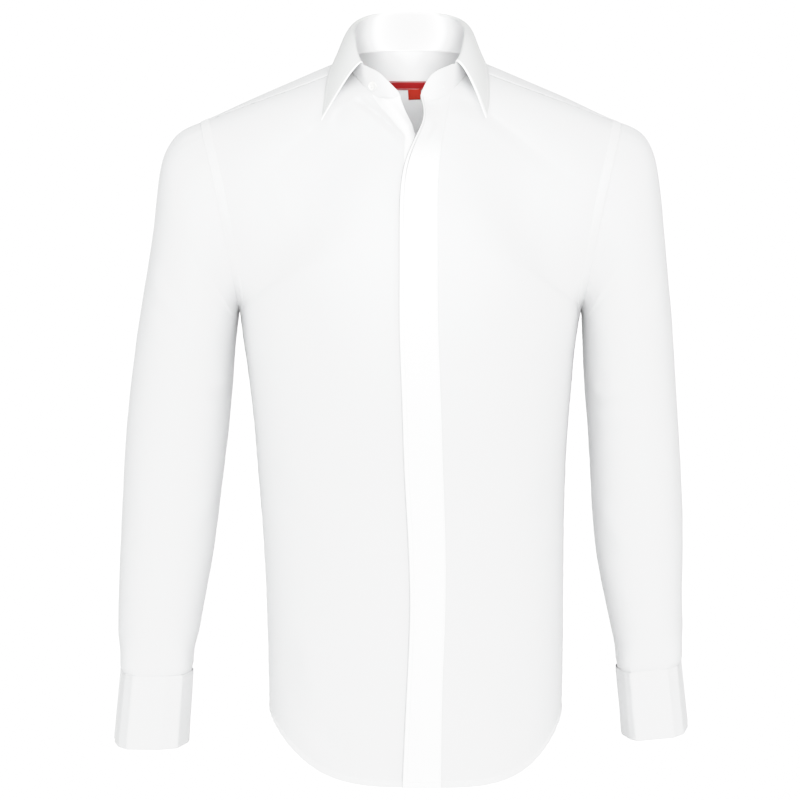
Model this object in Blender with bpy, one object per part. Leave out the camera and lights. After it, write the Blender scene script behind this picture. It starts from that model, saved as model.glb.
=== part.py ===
"""Long sleeve dress shirt, filled out as if worn, in metres with +Z up.

The front faces -Y and the wearer's left is +X.  The origin is the middle of the
neck, level with the side neck points.  Every cloth piece is a thin closed wall:
its outer face is worked out from the tables below and its inner face is that
face moved in by the cloth's thickness.
"""
import math

import bmesh
import bpy
import numpy as np
from mathutils import bvhtree

for old in list(bpy.data.objects):
    bpy.data.objects.remove(old, do_unlink=True)

# ------------------------------------------------------------------ sizes, metres
CLOTH = 0.0012          # wall of the body, yoke and sleeve cloth
FUSED = 0.0016          # wall of the collar pieces
FLY = 0.0010            # each layer of the folded fly
SEAM = 0.00025          # each piece stops this far short of its seam line
ARM_GAP = 0.0006        # sleeve head to armhole
LIFT = 0.0036           # the left front lies this far over the right one
CUFF_WALL = 0.0013      # each layer of a double cuff
CUFF_SLOT = 0.0005      # between the two layers
CUFF_UNDER = 0.0054     # turned-back edge stands this far past the sleeve seam
CREST = 0.0017          # radius of the collar's fold
BUTTON_D = 0.0105       # collar button
LABEL_W, LABEL_H = 0.060, 0.0082
TAB_W, TAB_H = 0.0128, 0.0090

# ------------------------------------------------------------------ tables
# middle of the front, height: forward reach, x of the placket's front edge,
# x of the placket's inner line, x of the band's inner line, x of the band's edge
FRONT_LINES = np.array([
    # z,      reach,   fly_x,   seam_x,  band_in,  band_edge, band_turn
    (-0.0400, 0.0890,  0.0105,  0.0400, -0.0385, -0.0107, 0.0000),
    (-0.0530, 0.0945,  0.0133,  0.0375, -0.0285, -0.0060, 0.0035),
    (-0.0640, 0.0985,  0.0126,  0.0355, -0.0190, -0.0010, 0.0065),
    (-0.0810, 0.1040,  0.0056,  0.0325, -0.0080,  0.0060, 0.0090),
    (-0.1050, 0.1105, -0.0044,  0.0292, -0.0062,  0.0165, 0.0075),
    (-0.1480, 0.1190, -0.0109,  0.0268, -0.0072,  0.0250, 0.0015),
    (-0.2000, 0.1245, -0.0114,  0.0266, -0.0078,  0.0262, 0.0000),
    (-0.2700, 0.1255, -0.0114,  0.0270, -0.0078,  0.0264, 0.0000),
    (-0.3470, 0.1225, -0.0088,  0.0298, -0.0054,  0.0292, 0.0000),
    (-0.4170, 0.1185, -0.0064,  0.0322, -0.0030,  0.0314, 0.0000),
    (-0.4900, 0.1160, -0.0024,  0.0346,  0.0008,  0.0338, 0.0000),
    (-0.5600, 0.1150, -0.0008,  0.0344,  0.0026,  0.0336, 0.0000),
    (-0.6300, 0.1140, -0.0036,  0.0318, -0.0002,  0.0310, 0.0000),
    (-0.7325, 0.1115, -0.0084,  0.0304, -0.0048,  0.0296, 0.0000),
])
# side seams: half width on the wearer's right and left, y of the seam
SIDES = np.array([
    # z,      right,   left,    y
    (-0.2525, 0.1768,  0.1775,  0.0000),
    (-0.2740, 0.1743,  0.1740,  0.0005),
    (-0.2950, 0.1713,  0.1710,  0.0010),
    (-0.3366, 0.1654,  0.1672,  0.0015),
    (-0.3780, 0.1606,  0.1636,  0.0010),
    (-0.4200, 0.1572,  0.1614,  0.0000),
    (-0.4610, 0.1540,  0.1602, -0.0005),
    (-0.5240, 0.1500,  0.1593, -0.0005),
    (-0.5850, 0.1474,  0.1588,  0.0000),
    (-0.6670, 0.1456,  0.1570,  0.0005),
])
# middle of the back
BACK_LINE = np.array([
    # z,      reach
    (-0.0730, 0.1095),
    (-0.1100, 0.1160),
    (-0.1600, 0.1190),
    (-0.2200, 0.1165),
    (-0.3000, 0.1060),
    (-0.3800, 0.0955),
    (-0.4500, 0.0925),
    (-0.5300, 0.0965),
    (-0.6200, 0.1040),
    (-0.7560, 0.1110),
])
# rows of a front panel from hem (0) over the underarm (1) and the placket's top
# (1.6) to the shoulder seam (2): height at the middle, height at the side or turn
# round the armhole in degrees, directions and reach of the row's two ends
FRONT_ROWS = np.array([
    # w,  mid_z,   side_z, armhole, mid_turn, mid_drop, side_turn, side_drop, mid_k, side_k
    (0.00, -0.7325, -0.6665,   0.0,   3.0,  0.00,  90.0, 0.00, 0.62, 0.58),
    (0.15, -0.6650, -0.6150,   0.0,   3.0,  0.00,  90.0, 0.00, 0.62, 0.58),
    (0.40, -0.5350, -0.5150,   0.0,   3.0,  0.00,  90.0, 0.00, 0.62, 0.58),
    (0.70, -0.3750, -0.3750,   0.0,   3.0,  0.00,  90.0, 0.00, 0.60, 0.58),
    (1.00, -0.2300, -0.2525,   0.0,   4.0,  0.00,  90.0, 0.00, 0.56, 0.58),
    (1.15, -0.1850, -0.2525,  24.0,   6.0,  0.00,  62.0, 0.00, 0.50, 0.50),
    (1.30, -0.1380, -0.2525,  50.0,   9.0,  0.01,  39.0, 0.02, 0.44, 0.44),
    (1.45, -0.0850, -0.2525,  77.0,  17.0,  0.03,  29.0, 0.07, 0.39, 0.39),
    (1.60, -0.0375, -0.2525, 104.0,  26.0,  0.08,  22.0, 0.16, 0.36, 0.36),
    (1.80, -0.0375, -0.2525, 137.0,  14.0,  0.26,  11.0, 0.32, 0.34, 0.34),
    (2.00, -0.0375, -0.2525, 168.0,   5.0,  0.37,   6.0, 0.39, 0.33, 0.33),
])
BACK_ROWS = np.array([
    # w,  mid_z,   side_z, armhole, mid_turn, mid_drop, side_turn, side_drop, mid_k, side_k
    (0.00, -0.7560, -0.6665, 360.0,   0.0,  0.00,  90.0, 0.00, 0.58, 0.58),
    (0.15, -0.6800, -0.6150, 360.0,   0.0,  0.00,  90.0, 0.00, 0.58, 0.58),
    (0.40, -0.5450, -0.5150, 360.0,   0.0,  0.00,  90.0, 0.00, 0.58, 0.58),
    (0.70, -0.3850, -0.3750, 360.0,   0.0,  0.00,  90.0, 0.00, 0.56, 0.58),
    (1.00, -0.2350, -0.2525, 360.0,   0.0,  0.00,  90.0, 0.00, 0.56, 0.58),
    (1.25, -0.1950, -0.2525, 330.0,   0.0,  0.00,  62.0, 0.00, 0.50, 0.50),
    (1.50, -0.1550, -0.2525, 298.0,   0.0,  0.00,  44.0, 0.02, 0.44, 0.44),
    (1.75, -0.1140, -0.2525, 266.0,   0.0,  0.00,  34.0, 0.08, 0.40, 0.40),
    (2.00, -0.0730, -0.2525, 236.0,   0.0,  0.00,  27.0, 0.15, 0.37, 0.37),
])
FRONT_TOP, BACK_TOP = 168.0, 236.0     # armhole turn where the yoke seams end
YOKE_RIDGE = 0.0045                    # crown of the shoulder line
YOKE_RISE = 0.47                       # how full the yoke stands over the shoulder
HEM_POWER = 1.5                        # how late the shirt-tail hem climbs
# neck seam and the crest of the collar fold, from the right end to the left end
NECK = np.array([
    # seam x, y,       z,       crest x, y,       z
    (-0.0107, -0.0890, -0.0406, -0.0122, -0.0897, -0.0372),
    (-0.0165, -0.0884, -0.0436, -0.0214, -0.0912, -0.0280),
    (-0.0250, -0.0860, -0.0446, -0.0325, -0.0890, -0.0178),
    (-0.0370, -0.0785, -0.0385, -0.0440, -0.0785, -0.0105),
    (-0.0490, -0.0640, -0.0250, -0.0525, -0.0640,  0.0035),
    (-0.0635, -0.0320, -0.0055, -0.0560, -0.0400,  0.0240),
    (-0.0664,  0.0000,  0.0060, -0.0562, -0.0070,  0.0400),
    (-0.0620,  0.0300,  0.0150, -0.0498,  0.0240,  0.0520),
    (-0.0490,  0.0530,  0.0215, -0.0378,  0.0465,  0.0605),
    (-0.0260,  0.0665,  0.0255, -0.0215,  0.0625,  0.0656),
    ( 0.0000,  0.0705,  0.0268,  0.0000,  0.0672,  0.0670),
    ( 0.0260,  0.0665,  0.0255,  0.0205,  0.0625,  0.0656),
    ( 0.0490,  0.0530,  0.0215,  0.0365,  0.0465,  0.0605),
    ( 0.0620,  0.0300,  0.0150,  0.0496,  0.0240,  0.0520),
    ( 0.0664,  0.0000,  0.0060,  0.0552, -0.0070,  0.0400),
    ( 0.0635, -0.0320, -0.0055,  0.0545, -0.0400,  0.0240),
    ( 0.0490, -0.0640, -0.0250,  0.0505, -0.0645,  0.0045),
    ( 0.0370, -0.0785, -0.0385,  0.0420, -0.0785, -0.0085),
    ( 0.0245, -0.0862, -0.0450,  0.0300, -0.0890, -0.0150),
    ( 0.0160, -0.0884, -0.0432,  0.0190, -0.0915, -0.0235),
    ( 0.0107, -0.0890, -0.0408,  0.0122, -0.0900, -0.0355),
])
LEAF_RISE = 0.0008      # the leaf starts this far over the stand
ROW_N_RIGHT, ROW_N_LEFT, ROW_BACK = 5, 15, 10   # rows at the yoke seam and mid back
# outer edge of the collar leaf against the row of the table above
LEAF = np.array([
    # row,   x,       y,       z
    ( 3.45, -0.0892, -0.0905, -0.0660),
    ( 4.10, -0.0868, -0.0660, -0.0405),
    ( 4.80, -0.0838, -0.0400, -0.0140),
    ( 5.80, -0.0778, -0.0060,  0.0055),
    ( 7.20, -0.0685,  0.0400,  0.0140),
    ( 8.50, -0.0430,  0.0740,  0.0170),
    (10.00,  0.0000,  0.0850,  0.0195),
    (11.50,  0.0420,  0.0740,  0.0170),
    (12.80,  0.0675,  0.0400,  0.0140),
    (14.20,  0.0765, -0.0060,  0.0055),
    (15.20,  0.0795, -0.0400, -0.0128),
    (15.90,  0.0800, -0.0660, -0.0405),
    (16.60,  0.0765, -0.0910, -0.0640),
])
# sleeve rings from the armhole to the cuff: outermost and innermost points seen
# from the front, y of the middle, half depth front to back, squareness, and how
# far the front of the ring dips
SLEEVES = {
    "right": np.array([
        # out_x,  out_z,   in_x,    in_z,    y,      depth,  square, dip
        (0.2172, -0.0592, 0.1768, -0.2525, -0.0030, 0.0640, 2.00, 0.00),
        (0.2372, -0.0680, 0.1776, -0.2570, -0.0025, 0.0660, 2.00, 0.00),
        (0.2520, -0.0865, 0.1783, -0.2610, -0.0020, 0.0672, 2.02, 0.00),
        (0.2596, -0.1120, 0.1789, -0.2650, -0.0010, 0.0680, 2.05, 0.00),
        (0.2640, -0.1500, 0.1796, -0.2700,  0.0000, 0.0685, 2.05, 0.00),
        (0.2708, -0.2000, 0.1806, -0.2780,  0.0010, 0.0685, 2.05, 0.00),
        (0.2798, -0.2550, 0.1818, -0.2880,  0.0020, 0.0675, 2.05, 0.00),
        (0.2885, -0.3200, 0.1845, -0.3260,  0.0030, 0.0650, 2.05, 0.00),
        (0.2945, -0.3800, 0.1892, -0.3800,  0.0040, 0.0615, 2.05, 0.00),
        (0.2985, -0.4410, 0.1965, -0.4410,  0.0050, 0.0575, 2.05, 0.00),
        (0.3016, -0.5030, 0.2048, -0.5030,  0.0045, 0.0532, 2.05, 0.00),
        (0.3030, -0.5600, 0.2150, -0.5600,  0.0030, 0.0485, 2.05, 0.01),
        (0.3020, -0.6050, 0.2222, -0.6050,  0.0010, 0.0445, 2.05, 0.03),
        (0.2998, -0.6200, 0.2256, -0.6200,  0.0002, 0.0425, 2.05, 0.04),
        (0.2985, -0.6250, 0.2275, -0.6250,  0.0000, 0.0405, 2.03, 0.04),
        (0.2977, -0.6290, 0.2283, -0.6290,  0.0000, 0.0393, 2.00, 0.04),
        (0.2977, -0.6338, 0.2283, -0.6338,  0.0000, 0.0393, 2.00, 0.04),
    ]),
    "left": np.array([
        # out_x,  out_z,   in_x,    in_z,    y,      depth,  square, dip
        (0.2190, -0.0596, 0.1775, -0.2525, -0.0030, 0.0640, 2.00, 0.00),
        (0.2374, -0.0676, 0.1782, -0.2570, -0.0025, 0.0660, 2.00, 0.00),
        (0.2508, -0.0850, 0.1788, -0.2610, -0.0020, 0.0672, 2.02, 0.00),
        (0.2575, -0.1100, 0.1790, -0.2650, -0.0010, 0.0680, 2.05, 0.00),
        (0.2618, -0.1480, 0.1792, -0.2700,  0.0000, 0.0685, 2.05, 0.00),
        (0.2662, -0.2000, 0.1795, -0.2780,  0.0010, 0.0685, 2.05, 0.00),
        (0.2714, -0.2550, 0.1800, -0.2880,  0.0020, 0.0675, 2.05, 0.00),
        (0.2756, -0.3200, 0.1814, -0.3230,  0.0030, 0.0650, 2.05, 0.00),
        (0.2796, -0.3800, 0.1855, -0.3800,  0.0040, 0.0615, 2.05, 0.00),
        (0.2828, -0.4410, 0.1893, -0.4410,  0.0050, 0.0575, 2.05, 0.00),
        (0.2839, -0.5030, 0.1945, -0.5030,  0.0045, 0.0532, 2.05, 0.00),
        (0.2830, -0.5600, 0.2045, -0.5600,  0.0030, 0.0485, 2.05, 0.02),
        (0.2825, -0.5970, 0.2112, -0.6020,  0.0010, 0.0450, 2.05, 0.05),
        (0.2806, -0.6110, 0.2140, -0.6175,  0.0002, 0.0430, 2.05, 0.07),
        (0.2798, -0.6155, 0.2166, -0.6225,  0.0000, 0.0420, 2.03, 0.07),
        (0.2794, -0.6188, 0.2172, -0.6262,  0.0000, 0.0408, 2.00, 0.07),
        (0.2794, -0.6232, 0.2172, -0.6304,  0.0000, 0.0408, 2.00, 0.07),
    ]),
}
# double cuffs: middle, half width and half depth of the innermost face at the top
# and at the fold, heights, the dip of the front, roll, length of the meeting ends
CUFFS = {
    #         x_top,   x_low,   y,      z_top,    z_low,    half_w, half_d, flare, dip,  roll,  fin
    "right": (-0.2630, -0.2688, 0.0000, -0.6288, -0.7035, 0.0343, 0.0389, 0.0014, 0.04, 0.00, 0.0075),
    "left":  ( 0.2483,  0.2548, 0.0000, -0.6218, -0.6915, 0.0307, 0.0404, 0.0008, 0.07, 0.115, 0.0065),
}
CUFF_MEET = 32.0        # the ends meet this far behind the outermost point, degrees
CUFF_FILLET = 0.005     # radius where the ring turns out into its meeting ends
CUFF_SQUARE = 3.1       # how square the pressed ring is: 2 would be an ellipse
GAUNTLET_W = 0.024      # strip over the sleeve opening, in line with the cuff's ends
GAUNTLET_RINGS = (0.735, 0.925)         # from the elbow side to just above the cuff

# ------------------------------------------------------------------ fineness
SIDE_STEPS = 9          # rows from hem to underarm
MID_STEPS = 4           # rows from underarm to the placket's top
NECK_STEPS = 3          # rows along each front neckline
PANEL_STEPS = 10        # columns of a front panel
SHOULDER_STEPS = 5      # yoke columns on each shoulder
BACKNECK_STEPS = 8      # yoke columns behind the neck
YOKE_TURNS = 4          # armhole steps over the yoke
BACK_STEPS = 6          # rows of the back beside the armhole


# ------------------------------------------------------------------ curves
def spline(knots, values, at):
    """Natural cubic spline through the rows of values."""
    x = np.asarray(knots, float)
    y = np.asarray(values, float)
    if y.ndim == 1:
        y = y[:, None]
    flip = x[0] > x[-1]
    if flip:
        x, y = x[::-1], y[::-1]
    n = len(x)
    h = np.diff(x)
    m = np.zeros((n, n))
    r = np.zeros((n, y.shape[1]))
    m[0, 0] = m[-1, -1] = 1.0
    for i in range(1, n - 1):
        m[i, i - 1], m[i, i], m[i, i + 1] = h[i - 1], 2 * (h[i - 1] + h[i]), h[i]
        r[i] = 6 * ((y[i + 1] - y[i]) / h[i] - (y[i] - y[i - 1]) / h[i - 1])
    c = np.linalg.solve(m, r)
    t = np.clip(np.atleast_1d(np.asarray(at, float)), x[0], x[-1])
    k = np.clip(np.searchsorted(x, t) - 1, 0, n - 2)
    a = ((x[k + 1] - t) / h[k])[:, None]
    b = 1.0 - a
    hh = (h[k] ** 2)[:, None]
    out = a * y[k] + b * y[k + 1] + ((a ** 3 - a) * c[k] + (b ** 3 - b) * c[k + 1]) * hh / 6
    return out if np.ndim(at) else out[0]


def smooth(t):
    t = min(max(t, 0.0), 1.0)
    return t * t * (3 - 2 * t)


def unit(v):
    return v / max(np.linalg.norm(v), 1e-12)


def even(points, shares):
    """Points at the given shares of a polyline's length."""
    run = np.concatenate([[0.0], np.cumsum(np.linalg.norm(np.diff(points, axis=0), axis=1))])
    at = np.asarray(shares) * run[-1]
    return np.stack([np.interp(at, run, points[:, i]) for i in range(3)], axis=1)


def bow(p0, d0, p1, d1, k0, k1, shares):
    """A row that leaves p0 along d0 and arrives at p1 along d1."""
    chord = p1 - p0
    a = p0 + d0 * k0 * abs(chord @ d0)
    b = p1 - d1 * k1 * abs(chord @ d1)
    t = np.linspace(0, 1, 61)[:, None]
    line = (1 - t) ** 3 * p0 + 3 * (1 - t) ** 2 * t * a + 3 * (1 - t) * t ** 2 * b + t ** 3 * p1
    return even(line, shares)


def line_at(z):
    """Reach and the five front lines at a height."""
    return spline(FRONT_LINES[:, 0], FRONT_LINES[:, 1:], z)


def armhole(side, turn):
    """A point of the armhole: 0 at the underarm, 90 in front, 180 on the shoulder."""
    s = -1.0 if side == "right" else 1.0
    ox, oz, ix, iz, y, depth, square, _ = SLEEVES[side][0]
    a = math.radians(turn)
    c, n = math.cos(a), math.sin(a)
    inward = 0.0035 * n * n
    return np.array([s * ((ox + ix) / 2 - (ox - ix) / 2 * c - inward),
                     y * (1 - c) / 2 * 2 * 0.5 - depth * n * (1.0 if n > 0 else 0.93),
                     (oz + iz) / 2 - (oz - iz) / 2 * c])


def side_seam(side, z):
    right, left, y = spline(SIDES[:, 0], SIDES[:, 1:], z)
    return np.array([-right if side == "right" else left, y, z])


def neck_point(row, crest=False):
    cols = NECK[:, 3:6] if crest else NECK[:, 0:3]
    return spline(np.arange(len(NECK)), cols, row)


def neck_row(x):
    """Row of the neck table, on a front part, whose seam has this x."""
    rows = np.linspace(0, 5, 200) if x < 0 else np.linspace(20, 15, 200)
    xs = np.array([neck_point(r)[0] for r in rows])
    order = np.argsort(np.abs(xs))
    return float(np.interp(abs(x), np.abs(xs)[order], rows[order]))


def chest(x, z, side):
    """Front surface near the middle at x and height z."""
    reach, fly_x, seam_x, band_in, band_edge, turn = line_at(z)
    mid = (seam_x + fly_x) / 2
    y = -reach + 1.9 * (x - mid) ** 2
    if side == "left":
        y -= LIFT * smooth((-0.040 - z) / 0.022)
    return np.array([x, y, z])


TOP_LEFT = neck_row(0.0400)          # neck rows where the placket and band lines end
TOP_RIGHT = neck_row(-0.0385)


def front_start(side, w, mid_z):
    """Point on the inner line of the placket or band, then along the neckline."""
    top = TOP_LEFT if side == "left" else TOP_RIGHT
    if w <= 1.6:
        x = line_at(mid_z)[2] if side == "left" else line_at(mid_z)[3]
        p = chest(x, mid_z, side)
        end = neck_point(top)
        share = smooth((w - 1.15) / 0.45)
        last = chest(line_at(-0.0375)[2 if side == "left" else 3], -0.0375, side)
        return p + (end - last) * share
    end = ROW_N_LEFT if side == "left" else ROW_N_RIGHT
    return neck_point(top + (end - top) * (w - 1.6) / 0.4)


def panel_row(side, w, shares, table, start, back=False):
    """One row of a front or of half the back, from the middle to the side."""
    s = -1.0 if side == "right" else 1.0
    f = 1.0 if not back else -1.0
    (mid_z, side_z, turn, a0, drop0, a1, drop1, k0, k1) = spline(table[:, 0], table[:, 1:], w)
    if w <= 1.0:
        turn = table[0, 3]
        k = int(np.searchsorted(table[:, 0], w, side="right") - 1)
    if w > 1.0:
        side_z = -0.2525
        turn = float(np.interp(w, table[:, 0], table[:, 3]))
    mid_z = float(np.interp(w, table[:, 0], table[:, 1]))
    if w <= 1.0:
        side_z = float(np.interp(w, table[:, 0], table[:, 2]))
    p0 = start(side, w, mid_z)
    p1 = side_seam(side, side_z) if w <= 1.0 else armhole(side, turn)
    a0, a1 = math.radians(a0), math.radians(min(a1, 90.0))
    d0 = unit(np.array([s * math.cos(a0), f * math.sin(a0), -drop0]))
    d1 = unit(np.array([s * math.cos(a1), f * math.sin(a1), -drop1]))
    row = bow(p0, d0, p1, d1, k0, k1, shares)
    hem = min(max((0.95 - w) / 0.7, 0.0), 1.0)
    if hem > 0:
        u = np.asarray(shares)
        climb = p0[2] + (p1[2] - p0[2]) * (1 - np.cos(np.pi * u ** HEM_POWER)) / 2
        row[:, 2] = row[:, 2] * (1 - hem) + climb * hem
    return row


def front_grid(side, ws, shares):
    return np.array([panel_row(side, w, shares, FRONT_ROWS, front_start) for w in ws])


def back_start(side, w, mid_z):
    return np.array([0.002, spline(BACK_LINE[:, 0], BACK_LINE[:, 1], mid_z)[0], mid_z])


def back_grid(ws, shares):
    rows = []
    for w in ws:
        left = panel_row("left", w, shares, BACK_ROWS, back_start, True)
        right = panel_row("right", w, shares, BACK_ROWS, back_start, True)
        rows.append(np.concatenate([left[::-1], right[1:]]))
    return np.array(rows)


# ------------------------------------------------------------------ yoke
def yoke_grid(turn_steps, shoulder, backneck, back_shares):
    """Columns from the left armhole round behind the neck to the right armhole,
    rows from the front seams and the neckline to the back seam."""
    low = back_grid([2.0], back_shares)[0]
    low_next = back_grid([1.93], back_shares)[0]
    tops, lows, starts = [], [], []
    n = len(low)
    fs = np.linspace(1, 0, shoulder + 1)

    def shoulder_top(side, share):
        here = panel_row(side, 2.0, [share], FRONT_ROWS, front_start)[0]
        under = panel_row(side, 1.96, [share], FRONT_ROWS, front_start)[0]
        return here, unit(here - under)

    for f in fs:
        p, d = shoulder_top("left", f)
        tops.append(p)
        starts.append(d)
    for i in range(1, backneck):
        row = ROW_N_LEFT + (ROW_N_RIGHT - ROW_N_LEFT) * i / backneck
        p = neck_point(row)
        q = (row - ROW_BACK) / (ROW_N_LEFT - ROW_BACK)
        tops.append(p)
        starts.append(unit(np.array([0.42 * q * (1 - abs(q)) * 2.0,
                                     0.66 + 0.30 * q * q, -0.75 + 0.72 * q * q])))
    for f in fs[::-1]:
        p, d = shoulder_top("right", f)
        tops.append(p)
        starts.append(d)
    # ease the start directions beside the neck points
    for _ in range(2):
        starts = [starts[0]] + [unit(starts[i - 1] * 0.5 + starts[i] + starts[i + 1] * 0.5)
                                for i in range(1, n - 1)] + [starts[-1]]
    # the seam's own directions change evenly from the neck points to mid back
    nl, nr = shoulder, n - 1 - shoulder
    for a, b in ((nl, n // 2), (nr, n // 2)):
        step = 1 if b > a else -1
        for i in range(a, b, step):
            q = smooth(abs(i - a) / abs(b - a))
            starts[i] = unit(starts[a] * (1 - q) + np.array([0.0, 0.66, -0.75]) * q)
    turns = np.linspace(FRONT_TOP, BACK_TOP, turn_steps + 1)
    t = np.linspace(0, 1, turn_steps + 1)
    cols = []
    for i in range(n):
        d1 = unit(low_next[i] - low[i])
        span = np.linalg.norm(low[i] - tops[i])
        a = tops[i] + starts[i] * span * YOKE_RISE
        b = low[i] - d1 * span * 0.40
        tt = t[:, None]
        col = ((1 - tt) ** 3 * tops[i] + 3 * (1 - tt) ** 2 * tt * a
               + 3 * (1 - tt) * tt ** 2 * b + tt ** 3 * low[i])
        along = min(i, n - 1 - i) / shoulder          # 0 at the armhole, 1 at the neck point
        ridge = YOKE_RIDGE * (smooth(along * 2.5) if along < 1 else 1 - smooth((along - 1) * 1.6))
        col[:, 2] += ridge * np.sin(np.pi * t) ** 2 * (1 - t) * 1.6
        cols.append(col)
    grid = np.array(cols).transpose(1, 0, 2)
    for side, edge in (("left", 0), ("right", n - 1)):
        want = np.array([armhole(side, k) for k in turns])
        off = want - grid[:, edge]
        for i in range(n):
            far = abs(i - edge) / shoulder
            grid[:, i] += off * (1 - smooth(far))
    return grid


# ------------------------------------------------------------------ sleeves
def sleeve_rows(side, rings, turns):
    s = -1.0 if side == "right" else 1.0
    table = SLEEVES[side]
    run = sleeve_run(side)
    rows = []
    for at in rings:
        ox, oz, ix, iz, y, depth, square, dip = spline(run, table, at)
        ring = []
        for turn in turns:
            a = math.radians(turn)
            c, n = math.cos(a), math.sin(a)
            e = 2.0 / square
            cc = math.copysign(abs(c) ** e, c)
            nn = math.copysign(abs(n) ** e, n)
            yy = y - depth * nn * (1.0 if n > 0 else 0.93 + 0.07 * smooth(at / 0.4))
            head = 1 - smooth(at / 0.12)
            yy += (y * (1 - c) / 2 - y) * head
            inward = 0.0035 * n * n * head
            ring.append((s * ((ox + ix) / 2 - (ox - ix) / 2 * cc - inward), yy,
                         (oz + iz) / 2 - (oz - iz) / 2 * cc + dip * (yy - y)))
        rows.append(ring)
    grid = np.array(rows)
    first = np.array([armhole(side, t) for t in turns])
    slide = np.array([s * 0.98, 0.0, -0.2]) * ARM_GAP
    off = first + slide - grid[0]
    for i, at in enumerate(rings):
        grid[i] += off * (1 - smooth(at / 0.10))
    return grid


def sleeve_run(side):
    """How far down the sleeve each row of its table is, 0 to 1."""
    table = SLEEVES[side]
    mid = (table[:, [0, 1]] + table[:, [2, 3]]) / 2
    step = (np.linalg.norm(np.diff(table[:, :2], axis=0), axis=1)
            + np.linalg.norm(np.diff(mid, axis=0), axis=1)) / 2
    run = np.concatenate([[0.0], np.cumsum(step)])
    return run / run[-1]


# ------------------------------------------------------------------ making solids
def face_normals(grid, closed):
    """Outward normals of a grid of points by averaging its faces."""
    g = grid
    if closed:
        across = np.roll(g, -1, axis=1) - np.roll(g, 1, axis=1)
    else:
        across = np.empty_like(g)
        across[:, 1:-1] = g[:, 2:] - g[:, :-2]
        across[:, 0] = g[:, 1] - g[:, 0]
        across[:, -1] = g[:, -1] - g[:, -2]
    along = np.empty_like(g)
    along[1:-1] = g[2:] - g[:-2]
    along[0] = g[1] - g[0]
    along[-1] = g[-1] - g[-2]
    n = np.cross(across, along)
    return n / np.maximum(np.linalg.norm(n, axis=2, keepdims=True), 1e-12)


def pull_in(grid, sides, by):
    """Draw the named edges of a grid in along its own surface."""
    g = grid.copy()
    if "first_row" in sides:
        d = grid[1] - grid[0]
        g[0] += d / np.linalg.norm(d, axis=1, keepdims=True) * by
    if "last_row" in sides:
        d = grid[-2] - grid[-1]
        g[-1] += d / np.linalg.norm(d, axis=1, keepdims=True) * by
    if "first_col" in sides:
        d = grid[:, 1] - grid[:, 0]
        g[:, 0] += d / np.linalg.norm(d, axis=1, keepdims=True) * by
    if "last_col" in sides:
        d = grid[:, -2] - grid[:, -1]
        g[:, -1] += d / np.linalg.norm(d, axis=1, keepdims=True) * by
    return g


def material(name, colour, rough, metallic=0.0):
    m = bpy.data.materials.new(name)
    m.use_nodes = True
    bsdf = m.node_tree.nodes["Principled BSDF"]
    bsdf.inputs["Base Color"].default_value = (*colour, 1.0)
    bsdf.inputs["Roughness"].default_value = rough
    bsdf.inputs["Metallic"].default_value = metallic
    return m


def finish(name, bm, mat, sharp=40.0):
    bmesh.ops.recalc_face_normals(bm, faces=bm.faces)
    if bm.calc_volume(signed=True) < 0:
        bmesh.ops.reverse_faces(bm, faces=bm.faces)
    mesh = bpy.data.meshes.new(name)
    bm.to_mesh(mesh)
    bm.free()
    mesh.shade_smooth()
    mesh.set_sharp_from_angle(angle=math.radians(sharp))
    mesh.materials.append(mat)
    obj = bpy.data.objects.new(name, mesh)
    bpy.context.scene.collection.objects.link(obj)
    return obj


def two(bm, a, b, c, d, across=None):
    """Two flat faces in place of the four-sided one a, b, c, d, divided from a to c
    or from b to d: the shorter way, or as across says."""
    if across is None:
        across = (a.co - c.co).length <= (b.co - d.co).length + 1e-7
    for f in (((a, b, c), (a, c, d)) if across else ((a, b, d), (b, c, d))):
        bm.faces.new(f)


def wall(name, outer, inner, mat, closed=False, loop_rows=False):
    """A closed wall between two grids of points.  closed: the columns run round."""
    rows, cols = outer.shape[:2]
    bm = bmesh.new()
    o = [[bm.verts.new(p) for p in row] for row in outer]
    i = [[bm.verts.new(p) for p in row] for row in inner]
    last = cols if closed else cols - 1
    for r in range(rows - 1):
        for c in range(last):
            d = (c + 1) % cols
            across = ((o[r][c].co - o[r + 1][d].co).length
                      <= (o[r][d].co - o[r + 1][c].co).length + 1e-7)
            two(bm, o[r][c], o[r][d], o[r + 1][d], o[r + 1][c], across)
            two(bm, i[r][d], i[r][c], i[r + 1][c], i[r + 1][d], not across)
    for c in range(last):
        d = (c + 1) % cols
        two(bm, o[0][d], o[0][c], i[0][c], i[0][d])
        two(bm, o[-1][c], o[-1][d], i[-1][d], i[-1][c])
    if not closed:
        for r in range(rows - 1):
            two(bm, o[r][0], o[r + 1][0], i[r + 1][0], i[r][0])
            two(bm, o[r + 1][-1], o[r][-1], i[r][-1], i[r + 1][-1])
    return finish(name, bm, mat)


def swept(name, sections, mat):
    """A closed solid through equal rings of points, capped at both ends."""
    bm = bmesh.new()
    rings = [[bm.verts.new(p) for p in ring] for ring in sections]
    n = len(rings[0])
    for a, b in zip(rings[:-1], rings[1:]):
        for k in range(n):
            j = (k + 1) % n
            two(bm, a[k], a[j], b[j], b[k])
    half = n // 2
    for ring in (rings[0], rings[-1]):
        for k in range(half - 1):
            two(bm, ring[k], ring[k + 1], ring[n - 2 - k], ring[n - 1 - k])
    return finish(name, bm, mat)


cotton = material("white_cotton", (0.86, 0.86, 0.85), 0.75)
fly_cotton = material("white_cotton_fly", (0.90, 0.90, 0.89), 0.72)
fused_cotton = material("white_cotton_fused", (0.84, 0.84, 0.83), 0.70)
label_red = material("label_red", (0.55, 0.01, 0.015), 0.60)
tab_red = material("tab_red", (0.62, 0.05, 0.015), 0.60)
button_white = material("button_white", (0.88, 0.88, 0.86), 0.25)

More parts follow.
